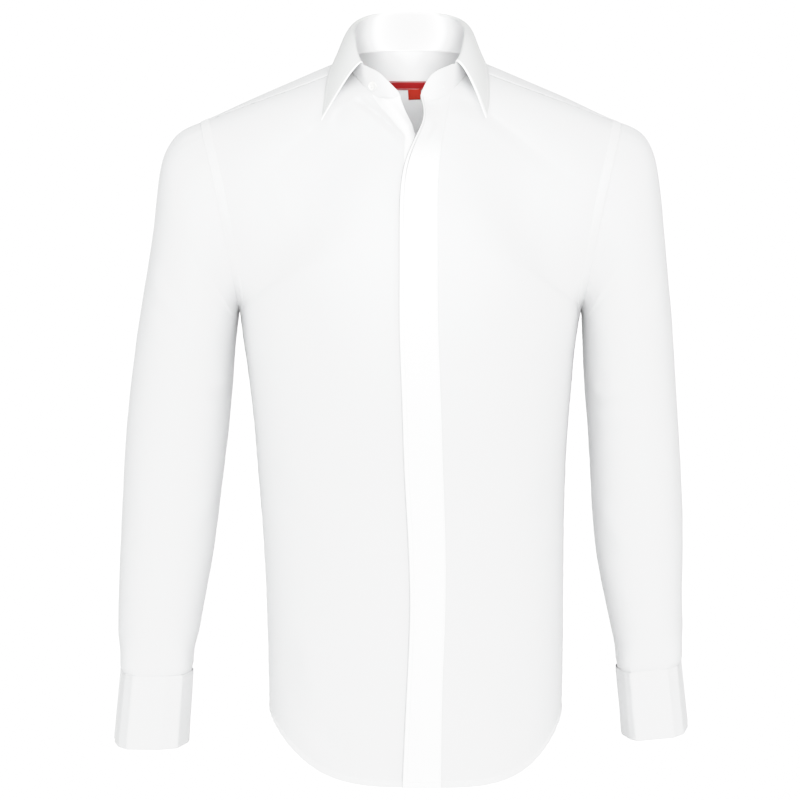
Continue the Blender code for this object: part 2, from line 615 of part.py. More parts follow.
# ------------------------------------------------------------------ body panels
low_ws = list(np.linspace(0, 1, SIDE_STEPS + 1))
front_ws = low_ws + list(np.linspace(1, 1.6, MID_STEPS + 1))[1:] + list(np.linspace(1.6, 2, NECK_STEPS + 1))[1:]
front_turns = [float(np.interp(w, FRONT_ROWS[:, 0], FRONT_ROWS[:, 3])) for w in front_ws if w >= 1.0]
back_ws = low_ws + list(np.linspace(1, 2, BACK_STEPS + 1))[1:]
back_turns = [float(np.interp(w, BACK_ROWS[:, 0], BACK_ROWS[:, 3])) for w in back_ws if w >= 1.0]
shares = np.linspace(0, 1, PANEL_STEPS + 1)
half_cols = SHOULDER_STEPS + BACKNECK_STEPS // 2
back_shares = np.linspace(0, 1, half_cols + 1)

grids = {}
for side in ("left", "right"):
    grids["front_" + side] = front_grid(side, front_ws, shares)
grids["back"] = back_grid(back_ws, back_shares)
grids["yoke"] = yoke_grid(YOKE_TURNS, SHOULDER_STEPS, BACKNECK_STEPS, back_shares)

# normals shared along the side, shoulder and yoke seams keep the walls in line
normals = {}
for name, grid in grids.items():
    n = face_normals(grid, False)
    if name == "front_right":
        n = -n
    if name == "back":
        n = -n
    normals[name] = n
for name in grids:                       # every normal points away from the body
    g, n = grids[name], normals[name]
    mid = g - np.array([0.0, 0.0, 0.0])
    mid[:, :, 2] = np.where(g[:, :, 2] > -0.12, g[:, :, 2] + 0.12, 0.0)
    if (mid * n).sum() < 0:
        normals[name] = -n


def share_normals():
    table = {}
    for name, grid in grids.items():
        for r in range(grid.shape[0]):
            for c in range(grid.shape[1]):
                if r in (0, grid.shape[0] - 1) or c in (0, grid.shape[1] - 1):
                    table.setdefault(tuple(np.round(grid[r, c], 5)), []).append((name, r, c))
    for spots in table.values():
        if len(spots) > 1:
            mean = unit(sum(normals[n][r, c] for n, r, c in spots))
            for n, r, c in spots:
                normals[n][r, c] = mean



# ------------------------------------------------------------------ front edges
strip_ws = [w for w in front_ws if w <= 1.6 + 1e-9]


def strip_point(side, w, f):
    """A point of the fly or the band: f is 0 at its free edge, 1 at its seam."""
    mid_z = float(np.interp(w, FRONT_ROWS[:, 0], FRONT_ROWS[:, 1]))
    _, fly_x, seam_x, band_in, band_edge, turn = line_at(mid_z)
    edge, inner = (fly_x, seam_x) if side == "left" else (band_edge, band_in)
    p = chest(edge + f * (inner - edge), mid_z, side)
    if side == "right":
        p[1] += turn * (1 - f) ** 1.5
    share = smooth((w - 1.15) / 0.45)
    if share > 0:
        _, fx, sx, bi, be, tn = line_at(-0.0375)
        e, i = (fx, sx) if side == "left" else (be, bi)
        ends = []
        for g, x, row in ((0.0, e, 20.0 if side == "left" else 0.0),
                          (1.0, i, TOP_LEFT if side == "left" else TOP_RIGHT)):
            last = chest(x, -0.0375, side)
            if side == "right":
                last[1] += tn * (1 - g) ** 1.5
            ends.append(neck_point(row) - last)
        arc = 0.0
        row0, row1 = (20.0, TOP_LEFT) if side == "left" else (0.0, TOP_RIGHT)
        on_neck = neck_point(row0 + (row1 - row0) * f)
        straight = chest(e + f * (i - e), -0.0375, side)
        if side == "right":
            straight[1] += tn * (1 - f) ** 1.5
        p = p + (on_neck - straight) * share
    return p


def strip_grid(side, fs):
    g = np.array([[strip_point(side, w, f) for f in fs] for w in strip_ws])
    step = g[-2] - g[-1]
    g[-1] += step / np.linalg.norm(step, axis=1, keepdims=True) * SEAM
    return g


def outward(grid, towards):
    n = face_normals(grid, False)
    return n if (n * towards).sum() > 0 else -n


width = 0.0385
fs = (1 - SEAM / width, 0.5, 0.03)
fly = strip_grid("left", (0.0,) + fs[::-1])
fly_n = outward(fly, np.array([0.0, -1.0, 0.3]))
band = strip_grid("right", (1 - 3.4 * SEAM / width, 0.5, 0.0))
band_n = outward(band, np.array([0.0, -1.0, 0.3]))

share_normals()
for k in range(len(strip_ws)):           # the fly and the band lie in line with their fronts
    for strip_n, col, name in ((fly_n, -1, "front_left"), (band_n, 0, "front_right")):
        mean = unit(strip_n[k, col] + normals[name][k, 0])
        strip_n[k, col] = mean
        normals[name][k, 0] = mean
for name in ("front_left", "front_right"):
    for c in range(1, PANEL_STEPS, 2):
        normals[name][-1, c] = unit(normals[name][-1, c - 1] + normals[name][-1, c + 1])
seams = {
    "front_left": ("first_col", "last_col", "last_row"),
    "front_right": ("first_col", "last_col", "last_row"),
    "back": ("first_col", "last_col", "last_row"),
    "yoke": ("first_row", "last_row", "first_col", "last_col"),
}
for name, grid in grids.items():
    outer = pull_in(grid, seams[name], SEAM)
    wall(name, outer, outer - normals[name] * CLOTH, cotton)

# ------------------------------------------------------------------ fly and band
depth = 2 * FLY + 0.0005
sections = []
for r in range(len(strip_ws)):
    edge, near, mid, seam = fly[r]
    ne, nn, nm, ns = fly_n[r]
    back_mid, back_seam = mid, seam + (mid - seam) * 0.10
    slot = near + (mid - near) * 0.04
    sections.append([seam, mid, near, edge - ne * depth / 2, near - nn * depth, mid - nm * depth,
                     back_seam - ns * depth,
                     back_seam - ns * (depth - FLY), mid - nm * (depth - FLY), slot - nn * (depth - FLY),
                     slot - nn * depth / 2 - (mid - near) * 0.02, slot - nn * FLY, mid - nm * FLY, seam - ns * FLY])
swept("placket_left", sections, fly_cotton)

wall("placket_right", band, band - band_n * CLOTH, fly_cotton)

# ------------------------------------------------------------------ sleeves
turns = front_turns + list(np.linspace(FRONT_TOP, BACK_TOP, YOKE_TURNS + 1))[1:] + back_turns[::-1][1:-1]
for side in ("left", "right"):
    rings = list(sleeve_run(side))
    grid = sleeve_rows(side, rings, turns)
    n = face_normals(grid, True)
    centre = grid.mean(axis=1, keepdims=True)
    if ((grid - centre) * n).sum() < 0:
        n = -n
    wall("sleeve_" + side, grid, grid - n * CLOTH, cotton, closed=True)


# ------------------------------------------------------------------ collar
neck_rows = ([0.0, 0.55, 1.2, TOP_RIGHT] + [TOP_RIGHT + (ROW_N_RIGHT - TOP_RIGHT) * k / NECK_STEPS
                                             for k in range(1, NECK_STEPS + 1)]
             + [ROW_N_RIGHT + 10.0 * k / BACKNECK_STEPS for k in range(1, BACKNECK_STEPS)]
             + [ROW_N_LEFT + (TOP_LEFT - ROW_N_LEFT) * k / NECK_STEPS for k in range(0, NECK_STEPS + 1)]
             + [18.8, 19.45, 20.0])
neck_rows = sorted(neck_rows + [LEAF[0, 0], LEAF[-1, 0]])


def stand_frame(row):
    """Seam point, crest point, up and outward directions of the stand."""
    seam, crest = neck_point(row), neck_point(row, True)
    ahead = neck_point(min(row + 0.05, 20.0)) - neck_point(max(row - 0.05, 0.0))
    up = unit(crest - seam)
    out = unit(np.cross(up, ahead))
    middle = np.array([0.0, -0.01, seam[2]])
    if out @ (seam - middle) < 0:
        out = -out
    return seam, crest, up, out


LEAF_FIRST, LEAF_LAST = LEAF[0, 0], LEAF[-1, 0]


def under_leaf(row):
    """1 where the stand carries the leaf, 0 on its free ends."""
    return min(smooth((row - LEAF_FIRST + 0.45) / 0.4), smooth((LEAF_LAST + 0.45 - row) / 0.4))


stand_out, stand_in = [], []
for row in neck_rows:
    seam, crest, up, out = stand_frame(row)
    low = seam + up * 0.0006
    top = crest - up * (CREST + LEAF_RISE) * under_leaf(row)
    tall = np.linalg.norm(top - low)
    line_out, line_in = [], []
    for k in range(3):
        p = low + (top - low) * k / 2
        bulge = out * 0.0008 * (1 - (k - 1) ** 2) * min(tall / 0.03, 1.0)
        line_out.append(p + bulge + out * FUSED / 2)
        line_in.append(p + bulge - out * FUSED / 2)
    stand_out.append(line_out)
    stand_in.append(line_in)
wall("collar_stand", np.array(stand_out), np.array(stand_in), fused_cotton)


def leaf_section(row, turns_up, fall):
    """Middle line of the leaf from the stand over the fold down to its edge."""
    seam, crest, up, out = stand_frame(row)
    edge = spline(LEAF[:, 0], LEAF[:, 1:], row)
    hub = crest - up * CREST + out * CREST
    line = [hub - CREST * math.cos(a) * out + CREST * math.sin(a) * up
            for a in np.radians(turns_up)]
    a = math.radians(turns_up[-1])
    start = line[-1]
    d0 = unit(math.sin(a) * out + math.cos(a) * up)
    span = np.linalg.norm(edge - start)
    chord = unit(edge - start)
    d1 = unit(chord * 1.0 - out * 0.10 - up * 0.02)
    aa, bb = start + d0 * span * 0.22, edge - d1 * span * 0.40
    for t in fall:
        line.append((1 - t) ** 3 * start + 3 * (1 - t) ** 2 * t * aa + 3 * (1 - t) * t * t * bb + t ** 3 * edge)
    return line


leaf_rows = [r for r in neck_rows if LEAF_FIRST <= r <= LEAF_LAST]
mid = np.array([leaf_section(r, (0.0, 60.0, 115.0), (0.2, 0.45, 0.72, 1.0)) for r in leaf_rows])
n = face_normals(mid, False)
for k, row in enumerate(leaf_rows):      # the leaf starts in line with the stand
    out = stand_frame(row)[3]
    n[k, 0] = out * np.sign(n[k, 0] @ out)
wall("collar_leaf", mid + n * FUSED / 2, mid - n * FUSED / 2, fused_cotton)

# ------------------------------------------------------------------ cuffs
def cuff_path(side, extra, steps):
    """Ring of the cuff's innermost face, from one meeting end to the other, with
    its outward directions.  extra widens the ring."""
    _, _, _, _, _, half_w, half_d, _, _, _, fin = CUFFS[side]
    a, b = half_w + extra, half_d + extra
    s = -1.0 if side == "right" else 1.0
    meet = math.radians(CUFF_MEET)
    p = CUFF_SQUARE

    def rim(turn):
        x, y = math.cos(turn), math.sin(turn)
        return np.array([a * x, b * y]) * (abs(x) ** p + abs(y) ** p) ** (-1 / p)

    root = rim(meet)
    r = np.array([abs(root[0] / a) ** (p - 1) / a, abs(root[1] / b) ** (p - 1) / b])
    r /= np.linalg.norm(r)
    t = np.array([-r[1], r[0]])
    half = [(0.0005, fin), (0.0005, CUFF_FILLET)]
    for k in (30.0, 60.0):
        q = math.radians(k)
        half.append((0.0005 + CUFF_FILLET * (1 - math.cos(q)), CUFF_FILLET * (1 - math.sin(q))))
    start = [root + t * u + r * v for u, v in half]
    stop = [root - t * u + r * v for u, v in half][::-1]
    skip = math.radians(15.0)
    ring = [rim(meet + q) for q in np.linspace(skip, 2 * math.pi - skip, steps)]
    pts = np.array(start + ring + stop)
    d = np.gradient(pts, axis=0)
    out = np.stack([d[:, 1], -d[:, 0]], axis=1)
    out /= np.linalg.norm(out, axis=1, keepdims=True)
    out[0] = out[1] = t
    out[-1] = out[-2] = -t
    pts[:, 0] *= s
    out[:, 0] *= s
    return pts, out


CUFF_STEPS = 22
for side in ("right", "left"):
    x_top, x_low, y_mid, z_top, z_low, half_w, half_d, flare, dip, roll, fin = CUFFS[side]
    total = 2 * CUFF_WALL + CUFF_SLOT
    z_in = z_top - CUFF_UNDER
    z_mid = (z_in + z_low) / 2
    w = CUFF_WALL
    chain = [  # outward distance, height: one face of the folded strip
        (0.0, z_in), (0.0, z_mid), (0.0003, z_low + 0.0012), (total / 2, z_low),
        (total - 0.0003, z_low + 0.0012), (total, z_mid), (total, z_top)]
    slot = [   # and the other
        (w, z_in), (w, z_mid), (w, z_low + 0.0024), (total / 2, z_low + 0.0019),
        (total - w, z_low + 0.0024), (total - w, z_mid), (total - w, z_top)]
    loops = chain + slot[::-1]
    levels = []
    for outby, z in loops:
        low = (z_top - z) / (z_top - z_low)
        pts, out = cuff_path(side, flare * low, CUFF_STEPS)
        q = pts + out * outby
        x_mid = x_top + (x_low - x_top) * low
        levels.append(np.stack([q[:, 0] + x_mid, q[:, 1] + y_mid,
                                z + dip * q[:, 1] + roll * q[:, 0]], axis=1))
    levels = np.array(levels)
    swept("cuff_" + side, [levels[:, k] for k in range(levels.shape[1])], fused_cotton)

# ------------------------------------------------------------------ gauntlets
for side in ("left", "right"):
    spread = math.degrees(GAUNTLET_W / 2 / 0.050)
    strip_turns = list(np.linspace(180 + CUFF_MEET - spread, 180 + CUFF_MEET + spread, 5))
    g = sleeve_rows(side, list(np.linspace(*GAUNTLET_RINGS, 6)), strip_turns)
    n = face_normals(g, False)
    s = -1.0 if side == "right" else 1.0
    if (n * np.array([s, 0.4, 0.0])).sum() < 0:
        n = -n
    wall("gauntlet_" + side, g + n * 0.0015, g + n * 0.0005, cotton)

# ------------------------------------------------------------------ button
seam, crest, up, out = stand_frame(2.75)
spot = seam + (crest - seam) * 0.36 + out * (FUSED / 2 + 0.0004)
across = unit(np.cross(up, out))
up = np.cross(out, across)
R = BUTTON_D / 2
profile = [(0.0, 0.0), (R - 0.0004, 0.0), (R, 0.0006), (R, 0.0014), (R - 0.0005, 0.0020),
           (R - 0.0013, 0.0020), (R - 0.0019, 0.0014), (0.0, 0.0014)]     # radius, height
bm = bmesh.new()
steps = 20
rings = []
for radius, high in profile:
    if radius == 0.0:
        rings.append([bm.verts.new(spot + out * high)])
    else:
        rings.append([bm.verts.new(spot + out * high + (across * math.cos(a) + up * math.sin(a)) * radius)
                      for a in np.linspace(0, 2 * math.pi, steps, endpoint=False)])
for a, b in zip(rings[:-1], rings[1:]):
    for k in range(steps):
        j = (k + 1) % steps
        if len(a) == 1:
            bm.faces.new((a[0], b[j], b[k]))
        elif len(b) == 1:
            bm.faces.new((a[k], a[j], b[0]))
        else:
            bm.faces.new((a[k], a[j], b[j], b[k]))
finish("collar_button", bm, button_white, 35.0)

# ------------------------------------------------------------------ label
yoke = bpy.data.objects["yoke"]
tree = bvhtree.BVHTree.FromPolygons([v.co for v in yoke.data.vertices],
                                    [p.vertices for p in yoke.data.polygons])


def inside_yoke(x, z):
    """Point on the inner face of the yoke behind the neck."""
    hit = tree.ray_cast((x, 0.0, z), (0.0, 1.0, 0.0))[0]
    return np.array(hit)


def patch(name, x0, x1, z0, z1, tilt, cols, rows, off, mat):
    front, rear = [], []
    xm, zm = (x0 + x1) / 2, (z0 + z1) / 2
    for z in np.linspace(z1, z0, rows):
        line_f, line_r = [], []
        for x in np.linspace(x0, x1, cols):
            dx, dz = x - xm, z - zm
            px, pz = xm + dx * math.cos(tilt) - dz * math.sin(tilt), zm + dx * math.sin(tilt) + dz * math.cos(tilt)
            p = inside_yoke(px, pz)
            line_f.append(p + np.array([0.0, -off - 0.0010, 0.0]))
            line_r.append(p + np.array([0.0, -off, 0.0]))
        front.append(line_f)
        rear.append(line_r)
    wall(name, np.array(front), np.array(rear), mat)


LABEL_TOP = -0.0042
patch("neck_label", -LABEL_W / 2, LABEL_W / 2, LABEL_TOP - LABEL_H, LABEL_TOP, 0.0, 9, 4, 0.0008, label_red)
tab_top = LABEL_TOP - LABEL_H - 0.0009
patch("size_tab", -0.0010, -0.0010 + TAB_W, tab_top - TAB_H, tab_top, 0.05, 3, 3, 0.0008, tab_red)
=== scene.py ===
"""Looks of the long sleeve dress shirt: thin cloth shells on the solids' own form, with
folds, puckers, stitching, buttonhole, button and labels.  Metres, +Z up, front faces -Y.
"""

import math

import bmesh
import bpy
import numpy as np
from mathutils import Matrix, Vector, bvhtree


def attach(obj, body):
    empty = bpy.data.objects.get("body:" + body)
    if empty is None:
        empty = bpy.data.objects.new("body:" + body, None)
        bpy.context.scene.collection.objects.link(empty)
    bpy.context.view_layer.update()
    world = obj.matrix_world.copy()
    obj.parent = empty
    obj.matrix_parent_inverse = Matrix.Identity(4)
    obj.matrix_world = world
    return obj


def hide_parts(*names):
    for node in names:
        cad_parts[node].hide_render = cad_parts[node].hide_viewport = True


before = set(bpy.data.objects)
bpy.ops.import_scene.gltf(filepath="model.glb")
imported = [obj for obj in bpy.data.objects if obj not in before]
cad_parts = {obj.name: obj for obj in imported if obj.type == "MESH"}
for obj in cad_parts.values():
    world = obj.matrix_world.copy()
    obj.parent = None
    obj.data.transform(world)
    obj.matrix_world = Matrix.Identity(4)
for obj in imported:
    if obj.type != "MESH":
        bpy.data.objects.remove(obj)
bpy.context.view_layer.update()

# ------------------------------------------------------------------ the garment's cut and form
CLOTH = 0.0012          # wall of the body, yoke and sleeve cloth
FUSED = 0.0016          # wall of the collar pieces
ARM_GAP = 0.0006        # sleeve head to armhole
LIFT = 0.0036           # the left front lies this far over the right one
CUFF_WALL = 0.0013      # each layer of a double cuff
CUFF_SLOT = 0.0005      # between the two layers
CUFF_UNDER = 0.0054     # turned-back edge stands this far past the sleeve seam
CREST = 0.0017          # radius of the collar's fold
BUTTON_D = 0.0105       # collar button
LABEL_W, LABEL_H = 0.060, 0.0082
TAB_W, TAB_H = 0.0128, 0.0090
# middle of the front, height: forward reach, x of the placket's front edge,
# x of the placket's inner line, x of the band's inner line, x of the band's edge
FRONT_LINES = np.array([
    # z,      reach,   fly_x,   seam_x,  band_in,  band_edge, band_turn
    (-0.0400, 0.0890,  0.0105,  0.0400, -0.0385, -0.0107, 0.0000),
    (-0.0530, 0.0945,  0.0133,  0.0375, -0.0285, -0.0060, 0.0035),
    (-0.0640, 0.0985,  0.0126,  0.0355, -0.0190, -0.0010, 0.0065),
    (-0.0810, 0.1040,  0.0056,  0.0325, -0.0080,  0.0060, 0.0090),
    (-0.1050, 0.1105, -0.0044,  0.0292, -0.0062,  0.0165, 0.0075),
    (-0.1480, 0.1190, -0.0109,  0.0268, -0.0072,  0.0250, 0.0015),
    (-0.2000, 0.1245, -0.0114,  0.0266, -0.0078,  0.0262, 0.0000),
    (-0.2700, 0.1255, -0.0114,  0.0270, -0.0078,  0.0264, 0.0000),
    (-0.3470, 0.1225, -0.0088,  0.0298, -0.0054,  0.0292, 0.0000),
    (-0.4170, 0.1185, -0.0064,  0.0322, -0.0030,  0.0314, 0.0000),
    (-0.4900, 0.1160, -0.0024,  0.0346,  0.0008,  0.0338, 0.0000),
    (-0.5600, 0.1150, -0.0008,  0.0344,  0.0026,  0.0336, 0.0000),
    (-0.6300, 0.1140, -0.0036,  0.0318, -0.0002,  0.0310, 0.0000),
    (-0.7325, 0.1115, -0.0084,  0.0304, -0.0048,  0.0296, 0.0000),
])
# side seams: half width on the wearer's right and left, y of the seam
SIDES = np.array([
    # z,      right,   left,    y
    (-0.2525, 0.1768,  0.1775,  0.0000),
    (-0.2740, 0.1743,  0.1740,  0.0005),
    (-0.2950, 0.1713,  0.1710,  0.0010),
    (-0.3366, 0.1654,  0.1672,  0.0015),
    (-0.3780, 0.1606,  0.1636,  0.0010),
    (-0.4200, 0.1572,  0.1614,  0.0000),
    (-0.4610, 0.1540,  0.1602, -0.0005),
    (-0.5240, 0.1500,  0.1593, -0.0005),
    (-0.5850, 0.1474,  0.1588,  0.0000),
    (-0.6670, 0.1456,  0.1570,  0.0005),
])
# middle of the back
BACK_LINE = np.array([
    # z,      reach
    (-0.0730, 0.1095),
    (-0.1100, 0.1160),
    (-0.1600, 0.1190),
    (-0.2200, 0.1165),
    (-0.3000, 0.1060),
    (-0.3800, 0.0955),
    (-0.4500, 0.0925),
    (-0.5300, 0.0965),
    (-0.6200, 0.1040),
    (-0.7560, 0.1110),
])
# rows of a front panel from hem (0) over the underarm (1) and the placket's top
# (1.6) to the shoulder seam (2): height at the middle, height at the side or turn
# round the armhole in degrees, directions and reach of the row's two ends
FRONT_ROWS = np.array([
    # w,  mid_z,   side_z, armhole, mid_turn, mid_drop, side_turn, side_drop, mid_k, side_k
    (0.00, -0.7325, -0.6665,   0.0,   3.0,  0.00,  90.0, 0.00, 0.62, 0.58),
    (0.15, -0.6650, -0.6150,   0.0,   3.0,  0.00,  90.0, 0.00, 0.62, 0.58),
    (0.40, -0.5350, -0.5150,   0.0,   3.0,  0.00,  90.0, 0.00, 0.62, 0.58),
    (0.70, -0.3750, -0.3750,   0.0,   3.0,  0.00,  90.0, 0.00, 0.60, 0.58),
    (1.00, -0.2300, -0.2525,   0.0,   4.0,  0.00,  90.0, 0.00, 0.56, 0.58),
    (1.15, -0.1850, -0.2525,  24.0,   6.0,  0.00,  62.0, 0.00, 0.50, 0.50),
    (1.30, -0.1380, -0.2525,  50.0,   9.0,  0.01,  39.0, 0.02, 0.44, 0.44),
    (1.45, -0.0850, -0.2525,  77.0,  17.0,  0.03,  29.0, 0.07, 0.39, 0.39),
    (1.60, -0.0375, -0.2525, 104.0,  26.0,  0.08,  22.0, 0.16, 0.36, 0.36),
    (1.80, -0.0375, -0.2525, 137.0,  14.0,  0.26,  11.0, 0.32, 0.34, 0.34),
    (2.00, -0.0375, -0.2525, 168.0,   5.0,  0.37,   6.0, 0.39, 0.33, 0.33),
])
BACK_ROWS = np.array([
    # w,  mid_z,   side_z, armhole, mid_turn, mid_drop, side_turn, side_drop, mid_k, side_k
    (0.00, -0.7560, -0.6665, 360.0,   0.0,  0.00,  90.0, 0.00, 0.58, 0.58),
    (0.15, -0.6800, -0.6150, 360.0,   0.0,  0.00,  90.0, 0.00, 0.58, 0.58),
    (0.40, -0.5450, -0.5150, 360.0,   0.0,  0.00,  90.0, 0.00, 0.58, 0.58),
    (0.70, -0.3850, -0.3750, 360.0,   0.0,  0.00,  90.0, 0.00, 0.56, 0.58),
    (1.00, -0.2350, -0.2525, 360.0,   0.0,  0.00,  90.0, 0.00, 0.56, 0.58),
    (1.25, -0.1950, -0.2525, 330.0,   0.0,  0.00,  62.0, 0.00, 0.50, 0.50),
    (1.50, -0.1550, -0.2525, 298.0,   0.0,  0.00,  44.0, 0.02, 0.44, 0.44),
    (1.75, -0.1140, -0.2525, 266.0,   0.0,  0.00,  34.0, 0.08, 0.40, 0.40),
    (2.00, -0.0730, -0.2525, 236.0,   0.0,  0.00,  27.0, 0.15, 0.37, 0.37),
])
FRONT_TOP, BACK_TOP = 168.0, 236.0     # armhole turn where the yoke seams end
YOKE_RIDGE = 0.0045                    # crown of the shoulder line
YOKE_RISE = 0.47                       # how full the yoke stands over the shoulder
HEM_POWER = 1.5                        # how late the shirt-tail hem climbs
# neck seam and the crest of the collar fold, from the right end to the left end
NECK = np.array([
    # seam x, y,       z,       crest x, y,       z
    (-0.0107, -0.0890, -0.0406, -0.0122, -0.0897, -0.0372),
    (-0.0165, -0.0884, -0.0436, -0.0214, -0.0912, -0.0280),
    (-0.0250, -0.0860, -0.0446, -0.0325, -0.0890, -0.0178),
    (-0.0370, -0.0785, -0.0385, -0.0440, -0.0785, -0.0105),
    (-0.0490, -0.0640, -0.0250, -0.0525, -0.0640,  0.0035),
    (-0.0635, -0.0320, -0.0055, -0.0560, -0.0400,  0.0240),
    (-0.0664,  0.0000,  0.0060, -0.0562, -0.0070,  0.0400),
    (-0.0620,  0.0300,  0.0150, -0.0498,  0.0240,  0.0520),
    (-0.0490,  0.0530,  0.0215, -0.0378,  0.0465,  0.0605),
    (-0.0260,  0.0665,  0.0255, -0.0215,  0.0625,  0.0656),
    ( 0.0000,  0.0705,  0.0268,  0.0000,  0.0672,  0.0670),
    ( 0.0260,  0.0665,  0.0255,  0.0205,  0.0625,  0.0656),
    ( 0.0490,  0.0530,  0.0215,  0.0365,  0.0465,  0.0605),
    ( 0.0620,  0.0300,  0.0150,  0.0496,  0.0240,  0.0520),
    ( 0.0664,  0.0000,  0.0060,  0.0552, -0.0070,  0.0400),
    ( 0.0635, -0.0320, -0.0055,  0.0545, -0.0400,  0.0240),
    ( 0.0490, -0.0640, -0.0250,  0.0505, -0.0645,  0.0045),
    ( 0.0370, -0.0785, -0.0385,  0.0420, -0.0785, -0.0085),
    ( 0.0245, -0.0862, -0.0450,  0.0300, -0.0890, -0.0150),
    ( 0.0160, -0.0884, -0.0432,  0.0190, -0.0915, -0.0235),
    ( 0.0107, -0.0890, -0.0408,  0.0122, -0.0900, -0.0355),
])
LEAF_RISE = 0.0008      # the leaf starts this far over the stand
ROW_N_RIGHT, ROW_N_LEFT, ROW_BACK = 5, 15, 10   # rows at the yoke seam and mid back
# outer edge of the collar leaf against the row of the table above
LEAF = np.array([
    # row,   x,       y,       z
    ( 3.45, -0.0892, -0.0905, -0.0660),
    ( 4.10, -0.0868, -0.0660, -0.0405),
    ( 4.80, -0.0838, -0.0400, -0.0140),
    ( 5.80, -0.0778, -0.0060,  0.0055),
    ( 7.20, -0.0685,  0.0400,  0.0140),
    ( 8.50, -0.0430,  0.0740,  0.0170),
    (10.00,  0.0000,  0.0850,  0.0195),
    (11.50,  0.0420,  0.0740,  0.0170),
    (12.80,  0.0675,  0.0400,  0.0140),
    (14.20,  0.0765, -0.0060,  0.0055),
    (15.20,  0.0795, -0.0400, -0.0128),
    (15.90,  0.0800, -0.0660, -0.0405),
    (16.60,  0.0765, -0.0910, -0.0640),
])
# sleeve rings from the armhole to the cuff: outermost and innermost points seen
# from the front, y of the middle, half depth front to back, squareness, and how
# far the front of the ring dips
SLEEVES = {
    "right": np.array([
        # out_x,  out_z,   in_x,    in_z,    y,      depth,  square, dip
        (0.2172, -0.0592, 0.1768, -0.2525, -0.0030, 0.0640, 2.00, 0.00),
        (0.2372, -0.0680, 0.1776, -0.2570, -0.0025, 0.0660, 2.00, 0.00),
        (0.2520, -0.0865, 0.1783, -0.2610, -0.0020, 0.0672, 2.02, 0.00),
        (0.2596, -0.1120, 0.1789, -0.2650, -0.0010, 0.0680, 2.05, 0.00),
        (0.2640, -0.1500, 0.1796, -0.2700,  0.0000, 0.0685, 2.05, 0.00),
        (0.2708, -0.2000, 0.1806, -0.2780,  0.0010, 0.0685, 2.05, 0.00),
        (0.2798, -0.2550, 0.1818, -0.2880,  0.0020, 0.0675, 2.05, 0.00),
        (0.2885, -0.3200, 0.1845, -0.3260,  0.0030, 0.0650, 2.05, 0.00),
        (0.2945, -0.3800, 0.1892, -0.3800,  0.0040, 0.0615, 2.05, 0.00),
        (0.2985, -0.4410, 0.1965, -0.4410,  0.0050, 0.0575, 2.05, 0.00),
        (0.3016, -0.5030, 0.2048, -0.5030,  0.0045, 0.0532, 2.05, 0.00),
        (0.3030, -0.5600, 0.2150, -0.5600,  0.0030, 0.0485, 2.05, 0.01),
        (0.3020, -0.6050, 0.2222, -0.6050,  0.0010, 0.0445, 2.05, 0.03),
        (0.2998, -0.6200, 0.2256, -0.6200,  0.0002, 0.0425, 2.05, 0.04),
        (0.2985, -0.6250, 0.2275, -0.6250,  0.0000, 0.0405, 2.03, 0.04),
        (0.2977, -0.6290, 0.2283, -0.6290,  0.0000, 0.0393, 2.00, 0.04),
        (0.2977, -0.6338, 0.2283, -0.6338,  0.0000, 0.0393, 2.00, 0.04),
    ]),
    "left": np.array([
        # out_x,  out_z,   in_x,    in_z,    y,      depth,  square, dip
        (0.2190, -0.0596, 0.1775, -0.2525, -0.0030, 0.0640, 2.00, 0.00),
        (0.2374, -0.0676, 0.1782, -0.2570, -0.0025, 0.0660, 2.00, 0.00),
        (0.2508, -0.0850, 0.1788, -0.2610, -0.0020, 0.0672, 2.02, 0.00),
        (0.2575, -0.1100, 0.1790, -0.2650, -0.0010, 0.0680, 2.05, 0.00),
        (0.2618, -0.1480, 0.1792, -0.2700,  0.0000, 0.0685, 2.05, 0.00),
        (0.2662, -0.2000, 0.1795, -0.2780,  0.0010, 0.0685, 2.05, 0.00),
        (0.2714, -0.2550, 0.1800, -0.2880,  0.0020, 0.0675, 2.05, 0.00),
        (0.2756, -0.3200, 0.1814, -0.3230,  0.0030, 0.0650, 2.05, 0.00),
        (0.2796, -0.3800, 0.1855, -0.3800,  0.0040, 0.0615, 2.05, 0.00),
        (0.2828, -0.4410, 0.1893, -0.4410,  0.0050, 0.0575, 2.05, 0.00),
        (0.2839, -0.5030, 0.1945, -0.5030,  0.0045, 0.0532, 2.05, 0.00),
        (0.2830, -0.5600, 0.2045, -0.5600,  0.0030, 0.0485, 2.05, 0.02),
        (0.2825, -0.5970, 0.2112, -0.6020,  0.0010, 0.0450, 2.05, 0.05),
        (0.2806, -0.6110, 0.2140, -0.6175,  0.0002, 0.0430, 2.05, 0.07),
        (0.2798, -0.6155, 0.2166, -0.6225,  0.0000, 0.0420, 2.03, 0.07),
        (0.2794, -0.6188, 0.2172, -0.6262,  0.0000, 0.0408, 2.00, 0.07),
        (0.2794, -0.6232, 0.2172, -0.6304,  0.0000, 0.0408, 2.00, 0.07),
    ]),
}
